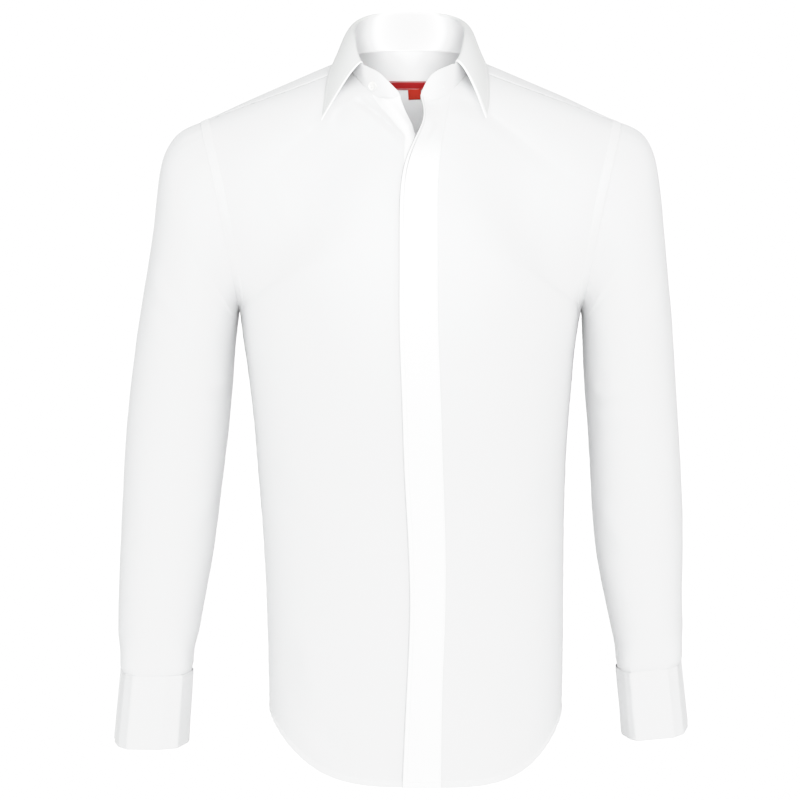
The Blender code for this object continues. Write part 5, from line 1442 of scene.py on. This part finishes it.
def over_cuff(side, p):
    """Bring the sleeve's end out to the cuff's top edge, where the cloth rolls over it."""
    x_top, x_low, y_mid, z_top, z_low, half_w, half_d, flare, dip, roll, fin = CUFFS[side]
    d = np.stack([p[..., 0] - x_top, p[..., 1] - y_mid], axis=-1)
    above = p[..., 2] - (z_top + dip * d[..., 1] + roll * d[..., 0])
    r = np.hypot(d[..., 0], d[..., 1])
    unit_d = d / r[..., None]
    q = CUFF_SQUARE
    rim_r = ((np.abs(unit_d[..., 0]) / half_w) ** q + (np.abs(unit_d[..., 1]) / half_d) ** q) ** (-1 / q)
    rim_r = rim_r * (1 + (cuff_facets(side, d) - 1) * smooths((0.0030 - above) / 0.003))
    phi = np.degrees(np.arctan2(d[..., 1], d[..., 0]))
    meet = 180 - CUFF_MEET if side == "right" else CUFF_MEET
    goal = rim_r + 0.0017 + 0.0014 * smooths((above - 0.0005) / 0.009) \
        - 0.0012 * smooths((30.0 - np.abs(phi - meet)) / 8.0)
    w = smooths((0.046 - above) / 0.038) * smooths((above + 0.0050) / 0.0028)
    new = unit_d * (r * (1 - w) + goal * w)[..., None]
    return np.concatenate([new + np.array([x_top, y_mid]), p[..., 2:]], axis=-1)


def sleeve_surface(side, rings, turns, closed):
    """Outer points, normals and heights of a sleeve's folds."""
    g = sleeve_rows(side, rings, turns)
    n = face_normals(g, closed)
    mid = g.mean(axis=1, keepdims=True) if closed else np.array(
        sleeve_rows(side, rings, [0.0, 90.0, 180.0, 270.0])).mean(axis=1, keepdims=True)
    if ((g - mid) * n).sum() < 0:
        n = -n
    length = 0.585 if side == "right" else 0.575
    down = np.array(rings)[:, None] * length * np.ones(len(turns))[None]
    turn = np.array(turns)[None] * 0.0009 * np.ones(len(rings))[:, None]
    at = np.stack([turn, down], axis=2)
    table = np.array(SLEEVE_FOLDS[side])
    table[:, [0, 2, 4]] *= 0.0009
    total = np.zeros(at.shape[:2])
    for wrap in (0.0, 360 * 0.0009, -360 * 0.0009):
        total += folds(at + np.array([wrap, 0.0]), table)
    head = smooths(down / 0.020)
    h = total * head + 0.00035 * head * ripple(g, 0.11, 11 if side == "right" else 12, (1.0, 1.0, 1.8))
    h = h + 0.00030 * (1 - smooths(down / 0.014))
    h = h + 0.00010 * ripple(g, 0.04, 14)
    h = h + pucker(down, np.array(turns)[None] * 0.0012, 0.0130, 0.00035, 0.016, 1.0) * smooths(down / 0.003)
    return over_cuff(side, g + n * h[..., None]), n


sleeves = {}
for side in ("left", "right"):
    table_at = sleeve_run(side)
    rings = np.unique(np.round(np.concatenate([
        np.linspace(0, 0.02, 6), np.linspace(0.02, 0.965, RINGS), np.linspace(0.965, 1.0, 9)]), 5))
    outer, n = sleeve_surface(side, rings, sleeve_turns, True)
    piece = place(shell("sleeve_%s_cloth" % side, outer, outer - n * SHEET, [COTTON], closed=True),
                  "white_cotton", "sleeve_" + side)
    # the seam's turned-in edge, in the groove between the body and the sleeve
    edge_rows = []
    for k in list(range(len(sleeve_turns))) + [0]:
        p = armhole(side, sleeve_turns[k])
        t = unit(armhole(side, sleeve_turns[k] + 0.5) - armhole(side, sleeve_turns[k] - 0.5))
        s0, s1, ns = outer[0, k], outer[1, k], n[0, k]
        loc, nb = on_body(p, ns)
        into = unit(np.cross(nb, t))
        into = into if into @ (np.array([0.0, 0.0, -0.45]) - p) > 0 else -into
        a, b = p + into * 0.0005 - nb * 0.00022, s0 + (s1 - s0) * 0.3 - ns * 0.00025
        up = unit(nb + ns)
        edge_rows.append((a, (a + b) / 2 + up * 0.00010, b, nb, up, ns))
    top_e = np.array([[r[0], r[1], r[2]] for r in edge_rows])
    n_e = np.array([[r[3], r[4], r[5]] for r in edge_rows])
    groove = place(shell("armhole_edge_" + side, top_e, top_e - n_e * 0.00045, [COTTON], rim=0.2), "white_cotton")
    strip = []
    for r in range(2, len(rings) - 6, 2):
        pts = np.concatenate([outer[r, :1], outer[r, ::-1][:16]])
        nn = np.concatenate([n[r, :1], n[r, ::-1][:16]])
        strip.append((pts, nn))
    so, sn = lap_strip("sleeve_seam_" + side, strip, [DOUBLE], SIDE_FELL)
    seam_piece = place(PIECES["sleeve_seam_" + side], "white_cotton")
    thread = Thread()
    for d in (0.0013, SIDE_FELL - 0.0017):
        thread.line(*beside(so, sn, "first_col", d))
    # gauntlet over the sleeve opening, ending in a point
    spread = math.degrees(GAUNTLET_W / 2 / 0.050)
    gt = list(np.linspace(180 + CUFF_MEET - spread, 180 + CUFF_MEET + spread, 13))
    gr = list(np.linspace(GAUNTLET_RINGS[0], 0.990, 48))
    gg, gn = sleeve_surface(side, gr, gt, False)
    point = 0.075 * np.abs(np.linspace(-1, 1, len(gt)))        # the upper end comes to a blunt point
    share = np.linspace(0, 1, len(gr))
    cols_p, cols_n = [], []
    for k in range(len(gt)):
        at = point[k] + (1 - point[k]) * share
        cols_p.append(np.stack([np.interp(at, share, gg[:, k, i]) for i in range(3)], axis=1))
        cols_n.append(np.stack([np.interp(at, share, gn[:, k, i]) for i in range(3)], axis=1))
    gg, gn = np.array(cols_p).transpose(1, 0, 2), units(np.array(cols_n).transpose(1, 0, 2))
    go = gg + gn * 0.0012
    g_piece = place(shell("gauntlet_%s_cloth" % side, go, gg + gn * 0.0002, [DOUBLE]), "white_cotton",
                    "gauntlet_" + side)
    for edge, d in (("first_col", 0.0014), ("last_col", 0.0014), ("first_row", 0.0014)):
        pts, nn = beside(go, gn, edge, d)
        thread.line(pts[1:], nn[1:])
    pts, nn = beside(go, gn, "first_row", 0.022)
    thread.line(pts, nn)
    thread_piece = place(thread.piece("stitches_sleeve_" + side, THREAD), "white_cotton")
    sleeves[side] = (piece, outer, [seam_piece, thread_piece, groove], g_piece, gg)

# ------------------------------------------------------------------ collar
STAND_ROWS = 200
stand_rows = np.unique(np.concatenate([np.linspace(0, 20, STAND_ROWS + 1), [LEAF[0, 0], LEAF[-1, 0]]]))
up_steps = np.linspace(0, 1, 11)
so, si, sn = [], [], []
for row in stand_rows:
    seam, crest, up, out = stand_frame(row)
    low = seam - up * 0.0002
    top = crest - up * (CREST + LEAF_RISE) * under_leaf(row)
    tall = np.linalg.norm(top - low)
    bulge = 0.0008 * (1 - (2 * up_steps - 1) ** 2) * min(tall / 0.03, 1.0)
    mid = low + (top - low) * up_steps[:, None] + out * bulge[:, None]
    so.append(mid + out * 0.00065)
    si.append(mid - out * 0.00065)
    sn.append(np.tile(out, (len(up_steps), 1)))
so, si, sn = np.array(so), np.array(si), np.array(sn)
stand_piece = place(shell("collar_stand_cloth", so, si, [FUSED_CLOTH]), "white_cotton_fused", "collar_stand")
thread_collar = Thread()
for g, n in ((so, sn), (si, -sn)):
    thread_collar.line(*beside(g, n, "first_col", 0.0018))
for edge in ("first_row", "last_row"):
    pts, nn = beside(so, sn, edge, 0.0022)
    thread_collar.line(pts[1:-1], nn[1:-1])

leaf_at = [r for r in stand_rows if LEAF_FIRST - 1e-9 <= r <= LEAF_LAST + 1e-9]
turn_list = tuple(np.linspace(0.0, 115.0, 9))
fall_list = tuple(np.linspace(0, 1, 27)[1:])
mid = np.array([leaf_section(r, turn_list, fall_list) for r in leaf_at])
n = face_normals(mid, False)
first_out = stand_frame(leaf_at[len(leaf_at) // 2])[3]
if n[len(leaf_at) // 2, 0] @ first_out > 0:
    flip = 1.0
for k, row in enumerate(leaf_at):
    out = stand_frame(row)[3]
    n[k, 0] = out * np.sign(n[k, 0] @ out)
face = n if n[len(leaf_at) // 2, -1] @ np.array([0.0, 1.0, 0.0]) > 0 else -n
along, across = run_along(mid, 0), run_along(mid, 1)
wave = (0.00022 * ripple(mid, 0.05, 21) * smooths(across / 0.02))[..., None]
leaf_outer = mid + face * (0.00062 + wave)
leaf_inner = mid - face * (0.00062 - wave)
pick = np.zeros((leaf_outer.shape[0] - 1, leaf_outer.shape[1] - 1), dtype=int)
# the leaf's two front edges and its whole underside take the whiter cloth: painted highlight and painted light
pick[0, 3:] = pick[-1, 3:] = 1
leaf_piece = place(shell("collar_leaf_cloth", leaf_outer, leaf_inner, [LEAF_CLOTH_PAINTED_SHADE, LEAF_PAINTED_LIGHT_CLOTH], pick=pick,
                         rim=0.55, under=1), "white_cotton_fused", "collar_leaf")
TOPSTITCH = 0.0058
pts, nn = beside(leaf_outer, face, "last_col", TOPSTITCH)
run = run_along(leaf_outer, 0)
inset = [int(np.searchsorted(run[:, -4], TOPSTITCH)),
         int(len(run) - 1 - np.searchsorted((run[-1, -4] - run[:, -4])[::-1], TOPSTITCH))]
thread_collar.line(pts[inset[0]:inset[1] + 1], nn[inset[0]:inset[1] + 1])
for edge in ("first_row", "last_row"):
    pts, nn = beside(leaf_outer, face, edge, TOPSTITCH)
    keep = run_along(leaf_outer, 1)[0 if edge == "first_row" else -1]
    stop = int(np.searchsorted(keep, keep[-1] - TOPSTITCH))
    thread_collar.line(pts[6:stop], nn[6:stop])

# ------------------------------------------------------------------ cuffs
cuff_parts = {}
for side in ("right", "left"):
    x_top, x_low, y_mid, z_top, z_low, half_w, half_d, flare, dip, roll, fin = CUFFS[side]
    total = 2 * CUFF_WALL + CUFF_SLOT
    z_in = z_top - CUFF_UNDER
    w = 0.0011
    r_fold = total / 2
    chain, slot = [], []
    for z in np.linspace(z_in, z_low + r_fold, 16):
        chain.append((0.0, z))
        slot.append((w, z))
    for a in np.radians(np.linspace(180, 360, 9))[1:-1]:
        chain.append((r_fold + r_fold * math.cos(a), z_low + r_fold + r_fold * math.sin(a)))
        slot.append((r_fold + (r_fold - w) * math.cos(a), z_low + r_fold + (r_fold - w) * math.sin(a)))
    for z in np.linspace(z_low + r_fold, z_top, 30):
        chain.append((total, z))
        slot.append((total - w, z))
    grids_c = []
    for loops in (chain, slot):
        levels = []
        for outby, z in loops:
            low = (z_top - z) / (z_top - z_low)
            pts, out = cuff_path(side, flare * low, 110)
            q = pts + out * outby
            q = q * cuff_facets(side, q)[:, None]
            x_mid = x_top + (x_low - x_top) * low
            levels.append(np.stack([q[:, 0] + x_mid, q[:, 1] + y_mid,
                                    z + dip * q[:, 1] + roll * q[:, 0]], axis=1))
        grids_c.append(np.array(levels))
    co, ci = grids_c
    n = units(co - ci)
    along, across = run_along(co, 0), run_along(co, 1)
    h = 0.00022 * ripple(co, 0.06, 31 if side == "right" else 32) * smooths((along - 0.075) / 0.02)
    h = h * smooths((across / 0.012)) * smooths((across[:, -1:] - across) / 0.012)
    co, ci = co + n * h[..., None], ci + n * h[..., None]
    cuff = place(shell("cuff_%s_cloth" % side, co, ci, [FUSED_CLOTH], rim=0.5), "white_cotton_fused",
                 "cuff_" + side)
    thread = Thread()
    outer_half = co[25:], n[25:]
    pts, nn = beside(co[::-1], n[::-1], "first_row", 0.0055)
    k0 = int(np.searchsorted(across[-1], 0.0055))
    thread.line(pts[k0:-k0], nn[k0:-k0])
    for edge in ("first_col", "last_col"):
        pts, nn = beside(*outer_half, edge, 0.0050)
        thread.line(pts[:-4], nn[:-4])
    # a stitched slot for the link on each meeting end
    row = 25 + (len(co) - 25) // 2
    for flip in (1, -1):
        line_p, line_n = co[row, ::flip], n[row, ::flip]
        rise_d = units(co[row + 1, ::flip] - co[row - 1, ::flip])
        run = np.concatenate([[0.0], np.cumsum(np.linalg.norm(np.diff(line_p, axis=0), axis=1))])
        for u in np.linspace(0.0030, 0.0135, 36):
            p, up, dn = [np.array([np.interp(u, run, v[:, i]) for i in range(3)]) for v in (line_p, line_n, rise_d)]
            for way in (-1, 1):
                a = p + dn * way * 0.0002
                thread.stitch(a, a + dn * way * 0.0011, unit(up), 0.00018)
    thread_piece = place(thread.piece("stitches_cuff_" + side, THREAD), "white_cotton")
    cuff_parts[side] = (cuff, co, [thread_piece])

# ------------------------------------------------------------------ button
seam, crest, up, out = stand_frame(2.75)
spot = seam + (crest - seam) * 0.36 + out * (0.00065 + 0.0007)
across_b = unit(np.cross(up, out))
up = np.cross(out, across_b)
R = BUTTON_D / 2
HOLE, HOLE_AT = 0.00062, 0.00135
prof = [(R - 0.0019, 0.00125), (R - 0.0017, 0.00135), (R - 0.0013, 0.0018), (R - 0.0010, 0.0020),
        (R - 0.0006, 0.0020), (R - 0.0002, 0.0018), (R, 0.0013), (R, 0.0007), (R - 0.0003, 0.0002),
        (R - 0.0009, 0.0)]
bm = bmesh.new()
STEPS = 48


def ring_of(radius, high, cx=0.0, cy=0.0, steps=STEPS):
    return [bm.verts.new(spot + out * high + across_b * (cx + radius * math.cos(a))
                         + up * (cy + radius * math.sin(a)))
            for a in np.linspace(0, 2 * math.pi, steps, endpoint=False)]


def bridge(a, b):
    for k in range(len(a)):
        j = (k + 1) % len(a)
        bm.faces.new((a[k], a[j], b[j], b[k]))


rings = [ring_of(r, h) for r, h in prof]
for a, b in zip(rings[:-1], rings[1:]):
    bridge(a, b)
for k in range(STEPS):
    for ring in (rings[0], rings[-1]):
        if bm.edges.get((ring[k], ring[(k + 1) % STEPS])) is None:
            bm.edges.new((ring[k], ring[(k + 1) % STEPS]))
holes_top, holes_low = [], []
for sx, sy in ((1, 1), (-1, 1), (-1, -1), (1, -1)):
    t = ring_of(HOLE, 0.00125, sx * HOLE_AT, sy * HOLE_AT, 14)
    l = ring_of(HOLE, 0.0, sx * HOLE_AT, sy * HOLE_AT, 14)
    bridge(t, l)
    holes_top.append(t)
    holes_low.append(l)
for outer_ring, holes in ((rings[0], holes_top), (rings[-1], holes_low)):
    edges = [bm.edges.get((outer_ring[k], outer_ring[(k + 1) % STEPS])) for k in range(STEPS)]
    for hole in holes:
        edges += [bm.edges.get((hole[k], hole[(k + 1) % 14])) for k in range(14)]
    bmesh.ops.triangle_fill(bm, use_beauty=True, edges=edges)
bmesh.ops.recalc_face_normals(bm, faces=bm.faces)
mesh = bpy.data.meshes.new("collar_button_pearl")
bm.to_mesh(mesh)
bm.free()
mesh.materials.append(PEARL)
mesh.shade_smooth()
mesh.set_sharp_from_angle(angle=math.radians(35))
button = bpy.data.objects.new("collar_button_pearl", mesh)
bpy.context.scene.collection.objects.link(button)
place(button, "button_white", "collar_button")
sew = Thread()
for s in (-1, 1):
    for off in (-0.0002, 0.0, 0.0002):
        a = spot + out * (0.00130 + 0.00012) + across_b * (s * HOLE_AT + off) - up * (HOLE_AT * 1.25)
        b = a + up * (HOLE_AT * 2.5)
        sew.stitch(a, b, out, 0.00020)
for k in range(10):                          # the shank between button and stand
    a = k * 2 * math.pi / 10
    foot = spot - out * 0.0009 + across_b * math.cos(a) * 0.0013 + up * math.sin(a) * 0.0013
    sew.stitch(foot, foot + out * 0.0013, across_b * math.cos(a) + up * math.sin(a), 0.00022)
button_thread = place(sew.piece("button_thread", THREAD), "button_white")

# buttonhole on the left end of the stand
seam, crest, upd, out = stand_frame(17.9)
hole_mid = seam + (crest - seam) * 0.45 + out * 0.00072
side_dir = unit(np.cross(upd, out))
HOLE_L = 0.0125
for k in range(46):
    u = -HOLE_L / 2 + HOLE_L * (k + 0.5) / 46
    for s in (-1, 1):
        a = hole_mid + side_dir * u + upd * s * 0.00022
        thread_collar.stitch(a, a + upd * s * 0.0011, out, 0.00017)
for s in (-1, 1):
    for k in range(9):
        a = math.radians(-80 + 20 * k)
        d = side_dir * s * math.cos(a) + upd * math.sin(a)
        foot = hole_mid + side_dir * s * HOLE_L / 2 + d * 0.0002
        thread_collar.stitch(foot, foot + d * 0.0011, out, 0.00017)

# ------------------------------------------------------------------ label and tab
yoke_obj = body["yoke"]
yoke_tree = bvhtree.BVHTree.FromPolygons([v.co for v in yoke_obj.data.vertices],
                                         [p.vertices for p in yoke_obj.data.polygons])


def ribbon(name, x0, x1, z0, z1, tilt, cols, rows, off, mat, slot_name, cad, rise=None):
    front, rear = [], []
    xm, zm = (x0 + x1) / 2, (z0 + z1) / 2
    for z in np.linspace(z1, z0, rows):
        line_f, line_r = [], []
        for x in np.linspace(x0, x1, cols):
            dx, dz = x - xm, z - zm
            px = xm + dx * math.cos(tilt) - dz * math.sin(tilt)
            pz = zm + dx * math.sin(tilt) + dz * math.cos(tilt)
            hit = np.array(yoke_tree.ray_cast((px, 0.0, pz), (0.0, 1.0, 0.0))[0])
            e = min(x - x0, x1 - x) / 0.004
            bow_out = 0.0004 * (1 - min(e, 1.0)) + 0.00025 * math.sin(px * 260.0) * math.cos(pz * 300.0)
            extra = rise(pz) if rise else 0.0
            line_f.append(hit + np.array([0.0, -off - 0.0007 - bow_out - extra, 0.0]))
            line_r.append(hit + np.array([0.0, -off - extra, 0.0]))
        front.append(line_f)
        rear.append(line_r)
    front, rear = np.array(front), np.array(rear)
    uv = np.stack([run_along(front, 1), run_along(front, 0)], axis=2)
    obj = shell(name, front, rear, [mat], uv=uv)
    return place(obj, slot_name, cad), front


label, label_grid = ribbon("neck_label_ribbon", -LABEL_W / 2, LABEL_W / 2, LABEL_TOP - LABEL_H, LABEL_TOP,
                           0.0, 61, 12, 0.0005, RIBBON, "label_red", "neck_label")
tab_top = LABEL_TOP - LABEL_H - 0.0009
tab, tab_grid = ribbon("size_tab_ribbon", -0.0010, -0.0010 + TAB_W, tab_top - TAB_H, tab_top + 0.0014, 0.05,
                       17, 14, 0.0006, TAB_RIBBON, "tab_red", "size_tab")
sew = Thread()
ln = np.zeros_like(label_grid)
ln[..., 1] = -1.0
sew.line(label_grid[1], ln[1], pitch=0.0022, length=0.0017)
sew.line(label_grid[-2], ln[-2], pitch=0.0022, length=0.0017)
for c in (2, -3):
    sew.line(label_grid[1:-1, c], ln[1:-1, c], pitch=0.0022, length=0.0017)
label_thread = place(sew.piece("label_thread", THREAD), "white_cotton")

body_stitches = place(thread_body.piece("stitches_body", THREAD), "white_cotton")
fly_stitches = place(thread_fly.piece("stitches_placket", THREAD), "white_cotton")
collar_stitches = place(thread_collar.piece("stitches_collar", THREAD), "white_cotton")

# ------------------------------------------------------------------ the cut of each piece
declare(body["front_left"], outers["front_left"])
declare(body["front_right"], outers["front_right"])
declare(body["back"], outers["back"])
declare(body["yoke"], outers["yoke"])
declare(fly_piece, fly_grid)
declare(band_piece, band_grid)
for side in ("left", "right"):
    piece, grid, parts, g_piece, gg = sleeves[side]
    declare(piece, grid,
            closed=True)
    declare(g_piece, gg)
    cuff, grid, parts = cuff_parts[side]
    declare(cuff, grid)
declare(stand_piece, so)
declare(leaf_piece, leaf_outer)
declare(label, label_grid)
declare(tab, tab_grid)

# watts for each pair and lamp, and the light of the room
KEY_LOW, KEY_HIGH, FRONT, TOP, BACK, ROOM = 23.0, 20.0, 104.0, 8.0, 48.0, 0.55
NECK_SPOT, INNER, COLLAR_GLOW = 230.0, 0.21, 1.0
TONE_WHITE = 1.6
TONES = [(0.0, 0.0), (0.25, 0.28), (0.38, 0.44), (0.5, 0.575), (0.62, 0.70), (0.72, 0.785), (0.82, 0.852),
         (0.92, 0.897), (1.06, 0.925), (1.18, 0.965), (1.36, 1.0), (1.6, 1.0)]

# ------------------------------------------------------------------ camera, light and floor
cam_data = bpy.data.cameras.new("camera")
cam_data.sensor_width = 36.0
cam_data.lens = 112.5
camera = bpy.data.objects.new("camera", cam_data)
camera.location = (-0.0104, -2.6, -0.347)
camera.rotation_euler = (math.radians(90), 0.0, 0.0)
bpy.context.scene.collection.objects.link(camera)
bpy.context.scene.camera = camera

AREA_LIGHTS = [
    # name, place x, y, z, width, height, watts, aim z
    ("key_left", -2.9, -1.6, 0.55, 1.9, 2.6, KEY_LOW, -0.35),
    ("key_right", 2.9, -1.6, 0.55, 1.9, 2.6, KEY_HIGH, -0.35),
    ("front", 0.25, -4.2, 0.38, 3.0, 2.2, FRONT, -0.35),
    ("top", 0.0, -1.5, 2.3, 2.8, 1.8, TOP, -0.10),
    ("back", 0.0, 3.4, 1.4, 3.4, 2.4, BACK, -0.35),
]
TINTS = {"key_left": (0.975, 1.0, 0.99), "front": (0.992, 1.0, 0.996), "key_right": (1.0, 0.999, 0.985)}
for name, x, y, z, w, hgt, watts, aim in AREA_LIGHTS:
    lamp = bpy.data.lights.new(name, "AREA")
    lamp.shape = "RECTANGLE"
    lamp.size, lamp.size_y = w, hgt
    lamp.energy = watts
    lamp.color = TINTS.get(name, (1.0, 1.0, 1.0))
    obj = bpy.data.objects.new(name, lamp)
    obj.location = (x, y, z)
    obj.rotation_euler = (Vector((0.0, 0.0, aim)) - Vector((x, y, z))).to_track_quat("-Z", "Y").to_euler()
    obj.visible_camera = False
    bpy.context.scene.collection.objects.link(obj)

lamp = bpy.data.lights.new("neck_spot", "SPOT")        # a soft narrow light into the open neck
lamp.energy = NECK_SPOT
lamp.spot_size = math.radians(7.0)
lamp.spot_blend = 1.0
lamp.shadow_soft_size = 0.22
spot = bpy.data.objects.new("neck_spot", lamp)
spot.location = (-0.0104, -2.9, -0.95)
spot.rotation_euler = (Vector((0.0, 0.03, 0.002)) - spot.location).to_track_quat("-Z", "Y").to_euler()
spot.visible_camera = False
bpy.context.scene.collection.objects.link(spot)

lamp = bpy.data.lights.new("inner_glow", "AREA")       # stands for the light that comes through thin cloth
lamp.shape = "RECTANGLE"
lamp.size, lamp.size_y = 0.16, 0.09
lamp.energy = INNER
glow = bpy.data.objects.new("inner_glow", lamp)
glow.location = (0.0, -0.02, -0.42)
glow.rotation_euler = (Vector((0.0, 0.05, 0.0)) - glow.location).to_track_quat("-Z", "Y").to_euler()
glow.visible_camera = False
bpy.context.scene.collection.objects.link(glow)

lamp = bpy.data.lights.new("collar_glow", "SPOT")      # light that falls into the neck from above
lamp.energy = COLLAR_GLOW
lamp.spot_size = math.radians(50.0)
lamp.spot_blend = 1.0
lamp.shadow_soft_size = 0.018
glow2 = bpy.data.objects.new("collar_glow", lamp)
glow2.location = (0.0, -0.05, 0.06)
glow2.rotation_euler = (Vector((0.0, 0.10, 0.042)) - glow2.location).to_track_quat("-Z", "Y").to_euler()
glow2.visible_camera = False
bpy.context.scene.collection.objects.link(glow2)

world = bpy.data.worlds.new("studio")
bpy.context.scene.world = world
world.use_nodes = True
tree = world.node_tree
for n in list(tree.nodes):
    tree.nodes.remove(n)
paper = node(tree, "ShaderNodeBackground")
paper.inputs["Color"].default_value = (1.0, 1.0, 1.0, 1.0)
paper.inputs["Strength"].default_value = 1.6
room = node(tree, "ShaderNodeBackground")
room.inputs["Color"].default_value = (1.0, 1.0, 1.0, 1.0)
room.inputs["Strength"].default_value = ROOM
ray = node(tree, "ShaderNodeLightPath")
mix = node(tree, "ShaderNodeMixShader")
out_node = node(tree, "ShaderNodeOutputWorld")
tree.links.new(ray.outputs["Is Camera Ray"], mix.inputs[0])
tree.links.new(room.outputs[0], mix.inputs[1])
tree.links.new(paper.outputs[0], mix.inputs[2])
tree.links.new(mix.outputs[0], out_node.inputs[0])

FLOOR_Z, FLOOR_R = -1.45, 3.6
bm = bmesh.new()
ring = [bm.verts.new((FLOOR_R * math.cos(a), FLOOR_R * math.sin(a), FLOOR_Z))
        for a in np.linspace(0, 2 * math.pi, 96, endpoint=False)]
bm.faces.new(ring)
mesh = bpy.data.meshes.new("floor")
bm.to_mesh(mesh)
bm.free()
floor_mat, tree, b = base_material("floor_paper", 0.9, 0.0, 0.1)
spot_noise = noise_at(tree, node(tree, "ShaderNodeTexCoord").outputs["Object"], 3.0, 2.0)
tree.links.new(mix_colour(tree, spot_noise, (0.90, 0.90, 0.90), (0.93, 0.93, 0.93)), b.inputs["Base Color"])
mesh.materials.append(floor_mat)
floor = bpy.data.objects.new("floor", mesh)
bpy.context.scene.collection.objects.link(floor)

bpy.context.scene.view_settings.view_transform = "Standard"
bpy.context.scene.view_settings.look = "None"
bpy.context.scene.view_settings.exposure = 0.0
# the studio's exposure: white cloth keeps an even tone and falls off only near its edges
view = bpy.context.scene.view_settings
view.use_curve_mapping = True
view.curve_mapping.white_level = (TONE_WHITE, TONE_WHITE, TONE_WHITE)
curve = view.curve_mapping.curves[3]
for k, (x, y) in enumerate(TONES):
    at = (x / TONE_WHITE, y)
    if k == 0 or k == len(TONES) - 1:
        curve.points[0 if k == 0 else -1].location = at
    else:
        curve.points.new(*at)
view.curve_mapping.update()
